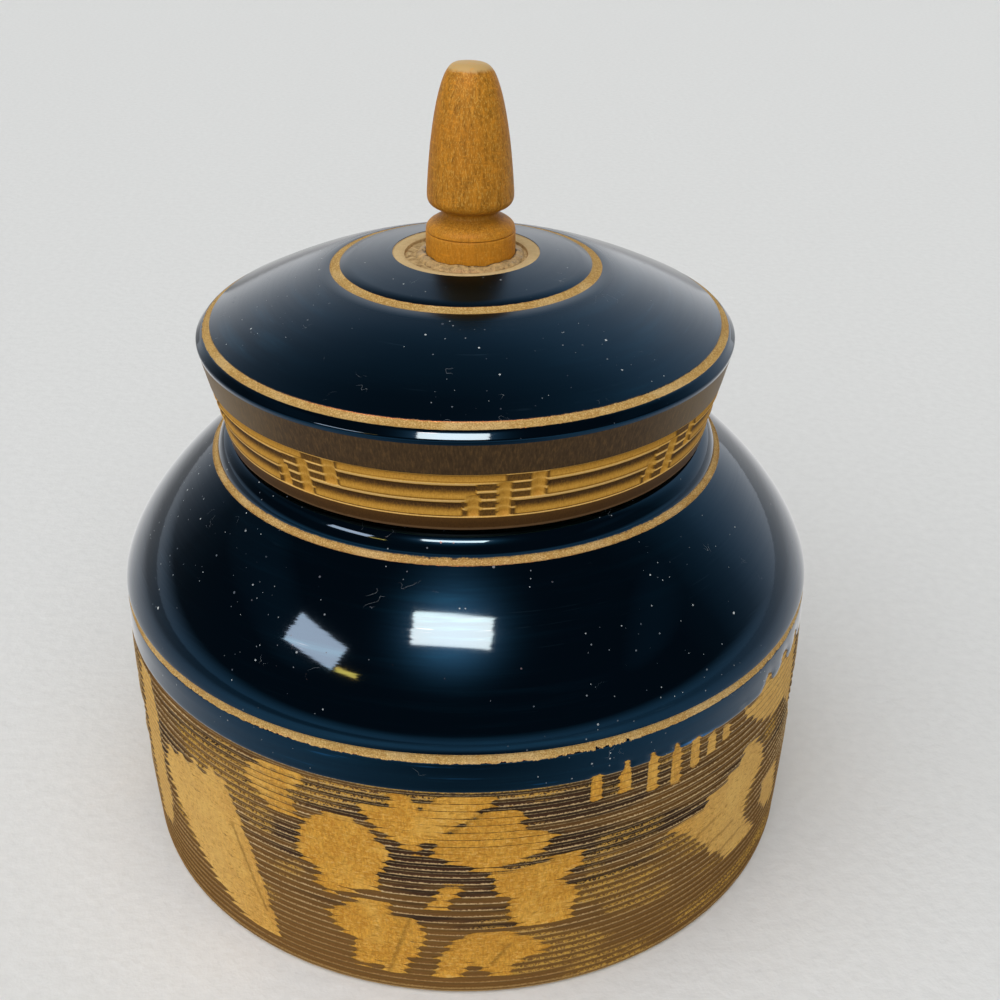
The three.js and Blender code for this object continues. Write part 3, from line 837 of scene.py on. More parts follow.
def lacquer_colour(tree, colours, strip):
    """Blue-black with brushed streaks of thinner blue, bluer in the strip; also its dust and brush marks."""
    brush = group(tree, "Brushed Lacquer", {"Streaks": 0.85})
    dust = group(tree, "Dust And Scratches", {"Specks": 0.42, "Hairs": 0.45, "Scratches": 0.5})
    amount = plus(tree, brush["Thin"], times(tree, strip, 0.12), clamp=True)
    colour = mix(tree, amount, colours.lacquer, colours.lacquer_blue)
    streak = times(tree, strip, between(tree, brush["Thin"], 0.22, 0.4))
    colour = mix(tree, streak, colour, colours.strip_blue)
    colour = mix(tree, times(tree, dust["Scratch"], 0.3), colour, SCRATCH_COLOUR)
    colour = mix(tree, dust["Dust"], colour, DUST_COLOUR)
    return colour, between(tree, dust["Dust"], 0.0, 0.12), brush


def cut_wood_colour(tree, wood, fineness=3.2):
    """Bare wood with grain, darker mottles and paler and darker drifts; also its fibre."""
    fibre = group(tree, "Wood Fibre", {"Fineness": fineness, "Drift": 0.16})
    wood = Vector(wood)
    dark = shifted(wood, 0.78, 0.66, 0.5)
    colour = ramp(tree, fibre["Fibre"], ((0.3, wood * 0.66), (0.5, wood), (0.7, wood * 1.3)))
    colour = mix(tree, between(tree, fibre["Mottle"], 0.44, 0.64, 0.0, 0.9), colour, dark)
    pale = between(tree, fibre["Drift"], 0.5, 0.34, 0.0, 0.5)
    colour = mix(tree, pale, colour, shifted(wood, 1.16, 1.3, 1.9))
    darker = times(tree, between(tree, fibre["Drift"], 0.45, 0.7), 0.35)
    return mix(tree, darker, colour, dark), fibre["Fibre"]


def stripe_wood_colour(tree, colours, place):
    """Bare wood of a turned stripe, with pale and dark grit."""
    colour, _ = cut_wood_colour(tree, colours.stripe_wood, 5.0)
    grit = noise(tree, place, 5.0, 2.0, 0.7)
    colour = mix(tree, between(tree, grit, 0.52, 0.66, 0.0, 0.8), colour, PALE_GRIT)
    return mix(tree, between(tree, grit, 0.48, 0.36, 0.0, 0.7), colour, DARK_GRIT)


def turned_lines(tree, sizes, height, place, fine):
    """Turned lines of the lower wall: which line, the place across it, its crests, and its depth in mm."""
    wander = noise(tree, stretched(tree, place, 0.12, 0.12), 1.0, 1.0, 0.5)
    wobble = shaken(tree, shaken(tree, height, fine, 0.07), wander, 0.12)
    count = sums(tree, "DIVIDE", wobble, sizes.line_pitch / MM)
    phase = sums(tree, "FRACT", count)
    crest = sums(tree, "ABSOLUTE", times_plus(tree, phase, 2.0, -1.0))
    sink = times(tree, minus(tree, 1.0, sums(tree, "POWER", crest, CREST_POWER)), sizes.line_depth / MM)
    sink = times_plus(tree, near(tree, phase, FINE_LINE, 0.035, 0.05), 0.2, sink)
    return sums(tree, "FLOOR", count), phase, crest, sink


def stained_wall_colour(tree, colours, height, place, line, crest, speckle):
    """The uncut band: stained channels, pale worn crests, golden flecks, a painted shade line on the crests'
    flanks, and painted sheen towards the sides.
    """
    stain, low_stain = Vector(colours.stain), Vector(colours.low_stain)
    lot = put(tree, "ShaderNodeTexWhiteNoise", {"W": line}, noise_dimensions="1D").outputs["Value"]
    patches = noise(tree, stretched(tree, place, 0.05, 0.35), 1.0, 3.0, 0.6)
    sideways = sums(tree, "ABSOLUTE", steps_of(tree, place)[0])
    tone = times_plus(tree, lot, 0.22, patches)
    tone = plus(tree, tone, between(tree, height, 3, 30, 0.36, -0.12))
    # Lighter towards the sides: painted sheen
    tone = plus(tree, tone, between(tree, sideways, 8, 40, 0.0, 0.26))
    stops = ((0.34, stain * 0.6), (0.55, stain), (0.72, low_stain * 0.8), (0.95, low_stain))
    colour = ramp(tree, tone, stops)

    low = between(tree, height, 3, 24, 1.0, 0.0)
    spots = between(tree, speckle, 0.34, 0.66)
    worn = between(tree, minus(tree, crest, mix_value(tree, spots, 0.92, 0.72)), -0.06, 0.1)
    second = between(tree, minus(tree, mix_value(tree, spots, 0.06, 0.2), crest), 0.0, 0.08)
    second = times(tree, second, between(tree, height, 20, 27, 0.0, 0.6))
    pale = mix(tree, patches, *WORN_CRESTS)
    pale = mix(tree, times(tree, low, 0.8), pale, LOW_CREST)
    worn = times(tree, most(tree, worn, second), mix_value(tree, low, 0.95, 0.6))
    colour = mix(tree, worn, colour, pale)
    # A painted shade line along the flanks of each crest
    shade = near(tree, crest, 0.62, 0.08, 0.1)
    colour = mix(tree, times(tree, shade, 0.35), colour, stain * 0.4)

    drifts = noise(tree, stretched(tree, place, 0.045, 0.1), 1.0, 2.0, 0.5)
    streaks = between(tree, nearest_line(tree, GOLD_PATCHES), 0.4, 2.6, 1.0, 0.0)
    golden = most(tree, between(tree, drifts, 0.56, 0.64), streaks)
    flecks = times(tree, golden, between(tree, speckle, 0.44, 0.56))
    return mix(tree, times(tree, flecks, between(tree, crest, 0.35, 0.7)), colour, GOLDEN_FLECK)


def gouged_wood_colour(tree, colours, height, place, over, notch, phase, speckle):
    """Wood bared by the gouge, paler with painted sheen towards the sides and darkened with painted shade in
    its seams; also its fibre, and the relief of its chatter marks and seams.
    """
    wood = Vector(colours.cut_wood)
    colour, fibre = cut_wood_colour(tree, wood)
    shallow = between(tree, plus(tree, over, notch), 0.0, 0.12, 0.42, 0.0)
    colour = mix(tree, shallow, colour, wood * 0.42)
    line_here = near(tree, phase, FINE_LINE, 0.05, 0.06)
    line_here = times(tree, line_here, between(tree, height, 41, 41.6, 0.7, 0.0))
    colour = mix(tree, times(tree, line_here, notch), colour, NOTCH_LINE)
    # Paler towards the sides: painted sheen
    sideways = sums(tree, "ABSOLUTE", steps_of(tree, place)[0])
    colour = mix(tree, between(tree, sideways, 22, 44, 0.0, 0.5), colour, SHEEN_WOOD)
    chatter = noise(tree, stretched(tree, place, 1.1, 3.4), 1.0, 2.0, 0.6, 0.7)
    colour = mix(tree, between(tree, chatter, 0.56, 0.68, 0.0, 0.6), colour, wood * 0.45)
    colour = mix(tree, between(tree, chatter, 0.44, 0.34, 0.0, 0.4), colour, PALE_CHATTER)
    # Painted shade in the valleys of the seams between strokes
    seam = shaken(tree, nearest_line(tree, SEAMS), speckle, 1.3)
    seam = between(tree, seam, 0.0, 0.5, 1.0, 0.0)
    colour = mix(tree, times(tree, seam, 0.42), colour, wood * 0.26)
    return colour, fibre, plus(tree, chatter, seam)


def pot_stripes(tree, height, radius, place, ragged):
    """Mask of the pot's bare stripes. The belly stripe is chipped along its lower edge."""
    chips = between(tree, height, BELLY_STRIPE - 0.1, BELLY_STRIPE + 0.3, 1.25, 0.2)
    chips = times(tree, chips, between(tree, steps_of(tree, place)[0], 0, 24, 1.0, 2.4))
    away = times_plus(tree, ragged, chips, apart(tree, height, BELLY_STRIPE - 0.1))
    belly = between(tree, away, 0.72, 0.8, 1.0, 0.0)
    away = times_plus(tree, ragged, 0.35, apart(tree, radius, SHOULDER_STRIPE))
    shoulder = times(tree, between(tree, away, 0.42, 0.49, 1.0, 0.0), between(tree, height, 67, 67.5))
    return most(tree, belly, shoulder)


def pot_material(sizes, colours):
    """Lacquer above, stained and gouged wood below, and two bare stripes."""
    material, tree, shader = new_material("lacquered and carved pot")
    here = group(tree, "Turned Place")
    height, radius, place = here["Height"], here["Radius"], here["Place"]
    ragged = group(tree, "Ragged Edge", {"Size": 0.22})["Offset"]
    fine = noise(tree, place, 3.5, 3.0, 0.7)
    speckle = noise(tree, stretched(tree, place, 1.0, 1.6), 2.6, 3.0, 0.7)
    strip = between(tree, height, BELLY_STRIPE, BELLY_STRIPE + 0.2, 1.0, 0.0)
    lacquer, dust, brush = lacquer_colour(tree, colours, strip)

    # Bare wood shows where the gouge went deeper than the turned lines
    line, phase, crest, sink = turned_lines(tree, sizes, height, place, fine)
    cut = shaken(tree, from_points(tree, "cut"), fine, 0.12)
    notch = between(tree, shaken(tree, from_points(tree, "notch"), fine, 0.5), -0.04, 0.12)
    over = minus(tree, cut, sink)
    is_bare = times(tree, between(tree, over, -0.005, 0.03), between(tree, cut, 0.03, 0.06))
    is_bare = most(tree, is_bare, notch)
    stained = stained_wall_colour(tree, colours, height, place, line, crest, speckle)
    bare, fibre, relief = gouged_wood_colour(tree, colours, height, place, over, notch, phase, speckle)
    wall = mix(tree, is_bare, stained, bare)
    foot_edge = between(tree, times_plus(tree, ragged, 0.5, height), 0.75, 1.0, 0.8, 0.0)
    wall = mix(tree, foot_edge, wall, FOOT_EDGE)
    band_top = sizes.band_top / MM
    in_band = times_plus(tree, ragged, 0.6, height)
    in_band = between(tree, in_band, band_top, band_top + 0.12, 1.0, 0.0)
    wall_mask = most(tree, in_band, most(tree, between(tree, cut, 0.1, 0.16), notch))

    stripes = pot_stripes(tree, height, radius, place, ragged)
    stripe_colour = stripe_wood_colour(tree, colours, place)
    groove_line = near(tree, times_plus(tree, ragged, 0.15, height), BELLY_STRIPE + 0.4, 0.03, 0.07)
    stripe_colour = mix(tree, times(tree, groove_line, 0.75), stripe_colour, GROOVE_COLOUR)

    bare_mask = most(tree, wall_mask, stripes)
    colour = mix(tree, wall_mask, mix(tree, stripes, lacquer, stripe_colour), wall)
    feed(tree, shader.inputs["Base Color"], colour)
    matt = mix_value(tree, is_bare, 0.6, 0.75)
    gloss(tree, shader, most(tree, bare_mask, dust), matt, times_plus(tree, fine, 0.05, 0.03))
    raised(tree, shader, (
        (times(tree, brush["Ripple"], mix_value(tree, bare_mask, 0.002, 0.0)), 0.5),
        (times(tree, fibre, mix_value(tree, bare_mask, 0.0, 0.07)), 0.8),
        (times(tree, relief, mix_value(tree, is_bare, 0.0, -0.1)), 0.8),
        (times(tree, bare_mask, -0.05), 0.6),
    ), times(tree, brush["Aside"], mix_value(tree, bare_mask, 0.03, 0.0)))
    return material


def lid_stripes(tree, colours, height, radius, place, ragged):
    """Mask and colour of the lid's bare stripes and seat; also the old glue smeared over the seat's floor."""
    outer = between(tree, radius, RIM_STRIPE - 0.1, RIM_STRIPE + 0.2, 0.25, 0.9)
    away = times_plus(tree, ragged, outer, apart(tree, radius, RIM_STRIPE))
    rim = between(tree, away, 0.54, 0.62, 1.0, 0.0)
    rim = times(tree, rim, between(tree, height, LID_EDGE + 0.75, LID_EDGE + 0.85))
    away = times_plus(tree, ragged, 0.3, apart(tree, radius, CROWN_STRIPE))
    crown = between(tree, away, 0.74, 0.82, 1.0, 0.0)
    seat = times_plus(tree, ragged, 0.3, radius)
    seat = between(tree, seat, CROWN_RADIUS - 0.12, CROWN_RADIUS - 0.02, 1.0, 0.0)

    colour = stripe_wood_colour(tree, colours, place)
    pale = mix(tree, noise(tree, place, 1.1, 3.0, 0.6), *SEAT_WOODS)
    colour = mix(tree, times(tree, seat, 0.8), colour, pale)
    smear = noise(tree, place, 0.9, 4.0, 0.65, 0.6)
    on_floor = between(tree, radius, SEAT_RADIUS, SEAT_RADIUS + 0.2, 1.0, 0.0)
    colour = mix(tree, on_floor, colour, ramp(tree, smear, OLD_GLUE))
    return most(tree, rim, most(tree, crown, seat)), colour, smear


def lid_wall(tree, colours, height, place, ragged, fine):
    """The lid's wall: stained band with painted sheen towards the sides, carved rim and foot; also the mask
    of the carving, and the grain.
    """
    grain = group(tree, "Wood Fibre", {"Fineness": 6.0, "Drift": 0.12})["Fibre"]
    stain = Vector(colours.rim_stain)
    upright = noise(tree, stretched(tree, place, 1.0, 0.09), 3.2, 4.0, 0.7)
    band = ramp(tree, upright, ((0.3, stain * 0.6), (0.5, stain), (0.7, shifted(stain, 1.8, 1.7, 1.4))))
    # Paler towards the sides: painted sheen
    sideways = sums(tree, "ABSOLUTE", steps_of(tree, place)[0])
    band = mix(tree, between(tree, sideways, 22, 42, 0.0, 0.5), band, SHEEN_BAND)
    tone = shaken(tree, from_points(tree, "tone"), fine, 0.26)
    carved = ramp(tree, shaken(tree, tone, grain, 0.3), RIM_TONES)
    above_foot = between(tree, height, RIM_LOW - 0.15, RIM_LOW - 0.05)
    in_carving = times(tree, above_foot, between(tree, height, RIM_HIGH, RIM_HIGH + 0.1, 1.0, 0.0))
    foot = mix(tree, grain, *RIM_FOOT_WOODS)
    foot = mix(tree, between(tree, height, 73.6, RIM_LOW - 0.05, 0.0, 0.12), foot, RIM_FOOT_GOLD)
    chipped = between(tree, plus(tree, height, ragged), LID_FOOT + 0.45, LID_FOOT + 0.65, 0.75, 0.0)
    foot = mix(tree, chipped, foot, RIM_FOOT_CHIP)
    return mix(tree, above_foot, foot, mix(tree, in_carving, band, carved)), in_carving, grain


def lid_material(colours):
    """Lacquer and bare stripes on top, and stained and carved wood below the edge."""
    material, tree, shader = new_material("lacquered and carved lid")
    here = group(tree, "Turned Place")
    height, radius, place = here["Height"], here["Radius"], here["Place"]
    ragged = group(tree, "Ragged Edge", {"Size": 0.2})["Offset"]
    fine = noise(tree, place, 3.5, 3.0, 0.7)
    lacquer, dust, brush = lacquer_colour(tree, colours, 0.0)
    stripes, stripe_colour, smear = lid_stripes(tree, colours, height, radius, place, ragged)
    wall, in_carving, grain = lid_wall(tree, colours, height, place, ragged, fine)

    on_top = between(tree, height, LID_EDGE - 0.45, LID_EDGE - 0.37)
    colour = mix(tree, on_top, wall, mix(tree, stripes, lacquer, stripe_colour))
    feed(tree, shader.inputs["Base Color"], colour)
    bare_mask = most(tree, minus(tree, 1.0, on_top), most(tree, stripes, dust))
    smooth = between(tree, radius, RIM_STRIPE - 4, RIM_STRIPE + 0.6, 0.13, 0.05)
    smooth = plus(tree, smooth, between(tree, radius, CROWN_STRIPE + 1.5, CROWN_STRIPE + 7, 0.16, 0.0))
    gloss(tree, shader, bare_mask, mix_value(tree, most(tree, in_carving, on_top), 0.5, 0.68), smooth)
    bare = most(tree, times(tree, stripes, on_top), in_carving)
    on_floor = between(tree, radius, SEAT_RADIUS, SEAT_RADIUS + 0.2, 0.25, 0.0)
    raised(tree, shader, (
        (times(tree, brush["Ripple"], mix_value(tree, bare, 0.002, 0.0)), 0.5),
        (times(tree, grain, mix_value(tree, bare, 0.0, 0.06)), 0.8),
        (times(tree, smear, on_floor), 0.8),
    ), times(tree, brush["Aside"], mix_value(tree, bare, 0.02, 0.0)))
    return material


# Shift in millimetres that brings the plain wood's pith to the axis, and the width of its year rings
PITH_SHIFT, YEAR_RING = (-21, 9, 0), 2.7


def plain_wood_material(colours):
    """Unfinished wood inside and underneath, with year rings round a pith that is off the axis."""
    material, tree, shader = new_material("plain turned wood")
    here = group(tree, "Turned Place")
    fibre = group(tree, "Wood Fibre", {"Fineness": 2.2, "Drift": 0.08})
    wood = Vector(colours.plain_wood)
    grain = ramp(tree, fibre["Fibre"], ((0.25, wood * 0.66), (0.5, wood), (0.75, wood * 1.18)))
    parts = steps_of(tree, vectors(tree, "ADD", here["Place"], PITH_SHIFT))
    reach = flat_distance(tree, parts[0], parts[1])
    bent = times_plus(tree, noise(tree, here["Place"], 0.05, 2.0, 0.5), 5.0, reach)
    years = sums(tree, "FRACT", sums(tree, "DIVIDE", bent, YEAR_RING))
    late = times(tree, between(tree, years, 0.55, 0.95), 0.4)
    colour = mix(tree, late, grain, shifted(wood, 0.7, 0.55, 0.4))
    soiled = between(tree, noise(tree, here["Place"], 0.06, 4.0, 0.6), 0.5, 0.75, 0.0, 0.35)
    colour = mix(tree, soiled, colour, wood * 0.45)
    feed(tree, shader.inputs["Base Color"], colour)
    feed(tree, shader.inputs["Roughness"], times_plus(tree, fibre["Fibre"], 0.2, 0.5))
    shader.inputs["Specular IOR Level"].default_value = 0.2
    tool = times(tree, noise(tree, stretched(tree, here["Place"], 0.03, 1.7), 1.0, 2.0, 0.5), 0.1)
    rings = sums(tree, "SINE", times(tree, here["Radius"], 7.0))
    raised(tree, shader, ((tool, 0.6), (times(tree, rings, 0.012), 0.6),
                          (times(tree, fibre["Fibre"], 0.05), 0.6)))
    return material


def finial_material(colours):
    """Honey-coloured wood with flecks, pores and a faint curly figure, and a pale cut tip; a painted
    highlight on the bell and painted shade in the neck.
    """
    material, tree, shader = new_material("honey-coloured finial wood")
    here = group(tree, "Turned Place")
    height, place = here["Height"], here["Place"]
    wood = Vector(colours.finial_wood)
    coarse = noise(tree, stretched(tree, place, 1.0, 0.22), 2.1, 4.0, 0.65, 0.15)
    fleck = noise(tree, stretched(tree, place, 1.0, 0.3), 6.5, 2.0, 0.6)
    stops = ((0.3, wood * 0.52), (0.47, wood * 0.9), (0.6, wood * 1.15), (0.75, wood * 1.45))
    colour = ramp(tree, coarse, stops)
    flecks = between(tree, fleck, 0.52, 0.64, 0.0, 0.6)
    colour = mix(tree, flecks, colour, (0.62, 0.36, 0.07))
    pores = noise(tree, stretched(tree, place, 1.0, 0.16), 4.2, 2.0, 0.6)
    colour = mix(tree, between(tree, pores, 0.6, 0.7, 0.0, 0.65), colour, wood * 0.38)
    warm = between(tree, noise(tree, place, 0.09, 2.0, 0.5), 0.4, 0.65, 0.0, 0.35)
    colour = mix(tree, warm, colour, shifted(wood, 1.05, 0.8, 0.6))
    tip = times_plus(tree, coarse, 0.8, height)
    colour = mix(tree, between(tree, tip, FINIAL_TOP - 0.95, FINIAL_TOP - 0.35), colour, (0.50, 0.33, 0.13))
    # A painted highlight: the foot's top and the bell lighter
    foot = between(tree, height, 103.1, 105.6, 0.45, 0.0)
    colour = mix(tree, foot, colour, wood * 1.35)
    curly = noise(tree, stretched(tree, place, 0.8, 3.0), 1.0, 3.0, 0.6, 0.5)
    colour = mix(tree, between(tree, curly, 0.54, 0.66, 0.0, 0.4), colour, wood * 1.7)
    # Painted shade in the neck under the flare
    hollow = times(tree, between(tree, height, 104.6, 105.6), between(tree, height, 107.2, 108.6, 0.4, 0.0))
    colour = mix(tree, hollow, colour, wood * 0.5)
    dark_line = near(tree, height, FINIAL_GROOVE, 0.05, 0.06)
    colour = mix(tree, times(tree, dark_line, 0.6), colour, wood * 0.35)
    feed(tree, shader.inputs["Base Color"], colour)
    feed(tree, shader.inputs["Roughness"], times_plus(tree, fleck, 0.25, 0.36))
    shader.inputs["Specular IOR Level"].default_value = 0.12
    lathe = noise(tree, stretched(tree, place, 0.05, 4.0), 1.0, 2.0, 0.5)
    raised(tree, shader, ((times(tree, coarse, 0.06), 0.7), (times(tree, lathe, 0.02), 0.6)))
    return material


def glue_material(colours):
    """Lumpy dried glue with dirt in it, and painted shade in the crevice where it meets the finial."""
    material, tree, shader = new_material("dried glue")
    place = group(tree, "Turned Place")["Place"]
    glue = Vector(colours.glue)
    lumps = noise(tree, place, 1.3, 4.0, 0.65, 0.4)
    stops = ((0.3, glue * 0.35), (0.45, glue * 0.85), (0.6, glue * 1.1), (0.75, glue * 1.5))
    colour = ramp(tree, lumps, stops)
    dirt = between(tree, noise(tree, place, 4.0, 2.0, 0.6), 0.62, 0.7, 0.0, 0.6)
    colour = mix(tree, dirt, colour, glue * 0.25)
    parts = steps_of(tree, vectors(tree, "ADD", place, (-FINIAL_OFF_CENTRE, 0, 0)))
    # Painted shade in the crevice where the glue meets the finial
    crevice_distance = shaken(tree, flat_distance(tree, parts[0], parts[1]), lumps, 1.2)
    colour = mix(tree, between(tree, crevice_distance, 7.0, 7.35, 0.9, 0.0), colour, glue * 0.08)
    feed(tree, shader.inputs["Base Color"], colour)
    feed(tree, shader.inputs["Roughness"], times_plus(tree, lumps, 0.4, 0.25))
    shader.inputs["Specular IOR Level"].default_value = 0.2
    raised(tree, shader, ((times(tree, lumps, 0.3), 0.8),))
    return material


# Stage

def aim(thing, place, target):
    thing.location = place
    thing.rotation_euler = (Vector(target) - Vector(place)).to_track_quat("-Z", "Y").to_euler()


def add_window(name, place, size, watts, colour):
    """A small bright panel that only the lacquer's gloss shows, aimed at the pot's shoulder."""
    start_clean()
    bpy.ops.object.light_add(type="AREA", location=place)
    lamp = bpy.context.object
    lamp.name = lamp.data.name = name
    lamp.data.shape = "RECTANGLE"
    lamp.data.size, lamp.data.size_y = size
    lamp.data.energy = watts
    lamp.data.color = colour
    lamp.visible_diffuse = False
    aim(lamp, place, (0, -0.03, 0.06))


def add_sky_light(name, lean, spread, strength):
    """Wide, even daylight, leaning left and forward by the two angles."""
    start_clean()
    bpy.ops.object.light_add(type="SUN", location=(0, 0, 1))
    lamp = bpy.context.object
    lamp.name = lamp.data.name = name
    lamp.data.energy = strength
    lamp.data.angle = math.radians(spread)
    lamp.rotation_euler = (math.radians(lean[1]), math.radians(lean[0]), 0)
    lamp.visible_glossy = False


# The photograph's camera: its place, its turns in degrees, and its focal length in the picture's pixels
CAMERA_PLACE = (0, -194.14 * MM, 166.7 * MM)
CAMERA_PITCH, CAMERA_YAW, CAMERA_ROLL = 29.897, 1.655, 0.542
FOCAL_PIXELS, PICTURE_PIXELS, SENSOR_WIDTH = 1299.8, 1000, 36


def add_camera():
    """The photograph's view: a near camera a little above the lid, looking down at the box."""
    start_clean()
    bpy.ops.object.camera_add(location=CAMERA_PLACE)
    camera = bpy.context.object
    camera.name = "photograph camera"
    pitch, yaw, roll = (math.radians(turn) for turn in (CAMERA_PITCH, CAMERA_YAW, CAMERA_ROLL))
    ahead = Vector((math.sin(yaw) * math.cos(pitch), math.cos(yaw) * math.cos(pitch), -math.sin(pitch)))
    level = Vector((math.cos(yaw), -math.sin(yaw), 0))
    up = level.cross(ahead)
    right = level * math.cos(roll) + up * math.sin(roll)
    top = up * math.cos(roll) - level * math.sin(roll)
    turned = Matrix((right, top, -ahead)).transposed().to_4x4()
    camera.matrix_world = Matrix.Translation(camera.location) @ turned
    camera.data.sensor_width = SENSOR_WIDTH
    camera.data.lens = SENSOR_WIDTH * FOCAL_PIXELS / PICTURE_PIXELS
    camera.data.clip_start = 0.005
    bpy.context.scene.camera = camera


# How far in front of the box, in metres, the floor's patch of painted shade lies
PATCH_AHEAD = 0.16


def floor_material(colours):
    """Pale floor to the camera; in the lacquer, darker far away and with a patch of painted shade in front of
    the box.
    """
    material, tree, shader = new_material("pale floor")
    where = put(tree, "ShaderNodeTexCoord").outputs["Object"]
    pebbles = noise(tree, where, 420.0, 3.0, 0.55)
    pale = Vector(colours.floor)
    seen = mix(tree, pebbles, pale * 0.93, pale * 1.05)
    mirrored = put(tree, "ShaderNodeLightPath").outputs["Is Glossy Ray"]
    parts = steps_of(tree, where)
    away = flat_distance(tree, parts[0], plus(tree, parts[1], PATCH_AHEAD))
    # Painted shade: a dark patch in front of the box, seen only in the lacquer
    shaded = mix(tree, between(tree, away, 0.0, 0.17), (0.19, 0.19, 0.19), (0.98, 0.98, 0.98))
    far = mix(tree, between(tree, parts[0], -0.5, -0.1), (0.40, 0.40, 0.40), (0.66, 0.66, 0.66))
    shaded = mix(tree, between(tree, away, 0.25, 0.6), shaded, far)
    feed(tree, shader.inputs["Base Color"], mix(tree, mirrored, seen, shaded))
    shader.inputs["Roughness"].default_value = 0.75
    shader.inputs["Specular IOR Level"].default_value = 0.1
    raised(tree, shader, ((times(tree, pebbles, 0.5), 0.4),))
    return material


# Greys of the mirrored backdrop, from in front of the box to behind it, and the way to the ceiling panel
BACKDROP_GREYS = ((0.0, 0.10), (0.2, 0.15), (0.35, 0.32), (0.45, 0.46), (0.55, 0.72), (0.65, 0.92),
                  (0.8, 1.12), (0.95, 1.25))
PANEL_WAY = (-0.077, -0.61, 0.789)


def set_world(colours):
    """Pale to the camera and even for soft light; in the lacquer, a pale backdrop behind a dark room."""
    world = bpy.data.worlds.new("studio")
    bpy.context.scene.world = world
    world.use_nodes = True
    tree = world.node_tree
    tree.nodes.clear()
    way = put(tree, "ShaderNodeTexCoord").outputs["Generated"]
    parts = steps_of(tree, way)
    behind = times_plus(tree, parts[0], 0.25, times(tree, parts[1], 0.95))
    backdrop = ramp(tree, behind, [(place, (grey, grey, grey)) for place, grey in BACKDROP_GREYS])
    low = between(tree, parts[2], 0.0, 0.17, 0.8, 0.0)
    side = near(tree, sums(tree, "ABSOLUTE", parts[0]), 0.8, 0.12, 0.12)
    side = times(tree, side, times(tree, near(tree, parts[2], 0.55, 0.17, 0.1), 0.18))
    edge = most(tree, low, side)
    edges = put(tree, "ShaderNodeCombineXYZ", {0: edge, 1: edge, 2: edge}).outputs[0]
    room = mix(tree, 1.0, backdrop, edges, "LIGHTEN")
    # A soft glow round the ceiling panel
    glow = put(tree, "ShaderNodeVectorMath", {0: way, 1: PANEL_WAY}, operation="DOT_PRODUCT").outputs["Value"]
    glow = sums(tree, "POWER", most(tree, glow, 0.0), 55.0)
    room = mix(tree, glow, room, (3.0, 3.0, 3.0))
    paths = put(tree, "ShaderNodeLightPath").outputs
    colour = mix(tree, paths["Is Glossy Ray"], (0.30, 0.30, 0.30), room)
    colour = mix(tree, paths["Is Camera Ray"], colour, Vector(colours.floor) * 0.96)
    back = put(tree, "ShaderNodeBackground", {"Color": colour, "Strength": 1.0})
    out = put(tree, "ShaderNodeOutputWorld")
    tree.links.new(back.outputs[0], out.inputs[0])


# Operators

class TRINKETBOX_OT_stage(bpy.types.Operator):
    """Adds the floor, the lamps, the surroundings and the camera"""

    bl_idname = "trinketbox.stage"
    bl_label = "Add Stage"

    def execute(self, context):
        colours = context.scene.trinket_colours
        start_clean()
        bpy.ops.mesh.primitive_circle_add(vertices=96, radius=3, fill_type="NGON", location=(0, 0, 0))
        floor = context.object
        floor.name = floor.data.name = "floor"
        floor.data.materials.append(floor_material(colours))
        add_sky_light("soft daylight", (-18, 32), 100, 2.65)
        add_window("ceiling panel", (-0.078, -0.648, 0.859), (0.40, 0.166), 21, (1.0, 0.30, 0.158))
        add_window("left window", (-0.706, -0.492, 0.636), (0.32, 0.16), 6.3, (1.0, 0.34, 0.225))
        add_window("warm lamp", (-0.584, -0.687, 0.579), (0.12, 0.03), 0.7, (1.0, 0.20, 0.023))
        set_world(colours)
        add_camera()
        context.scene.view_settings.view_transform = "Standard"
        return {"FINISHED"}


class TRINKETBOX_OT_finishes(bpy.types.Operator):
    """Makes the shared node groups and the materials"""

    bl_idname = "trinketbox.finishes"
    bl_label = "Make Finishes"

    def execute(self, context):
        for build in (place_group, dust_group, lacquer_group, fibre_group, near_line_group, ragged_group):
            build()
        pot_material(context.scene.trinket_sizes, context.scene.trinket_colours)
        for build in (lid_material, plain_wood_material, finial_material, glue_material):
            build(context.scene.trinket_colours)
        return {"FINISHED"}


class TRINKETBOX_OT_pot(bpy.types.Operator):
    """Turns the pot, then cuts its lines and gouges its flowers, fans and notches"""

    bl_idname = "trinketbox.pot"
    bl_label = "Turn Pot"

    def execute(self, context):
        sizes = context.scene.trinket_sizes
        outline, first, last = pot_outline(sizes)
        pot = turn("turned_pot", outline, sizes.pot_columns)
        radius, degrees, height = places(pot)
        on_wall = (radius > wall_radius(height) - 0.4) & (height > WALL_FOOT) & (height < BELLY_STRIPE - 0.9)
        in_band = on_wall & (height < sizes.band_top / MM + 0.1)
        cut = np.zeros_like(height)
        cut[on_wall] = band_cut(degrees[on_wall], height[on_wall], sizes.line_pitch / MM) * sizes.gouge_share
        room = notch_room(degrees, height)
        cut = np.where(on_wall, np.maximum(cut, np.clip((room + 0.1) * 1.5, 0, 0.3)), 0)
        lines = np.where(in_band, line_sink(height, sizes.line_pitch / MM, sizes.line_depth / MM), 0)
        move_to(pot, radius - np.maximum(cut, lines), degrees, height)
        keep_on_points(pot, "cut", cut)
        keep_on_points(pot, "notch", room)
        paint_faces(pot, outline, first, last, bpy.data.materials["lacquered and carved pot"],
                    bpy.data.materials["plain turned wood"])
        finish_piece(pot, "pot", "pot")
        return {"FINISHED"}


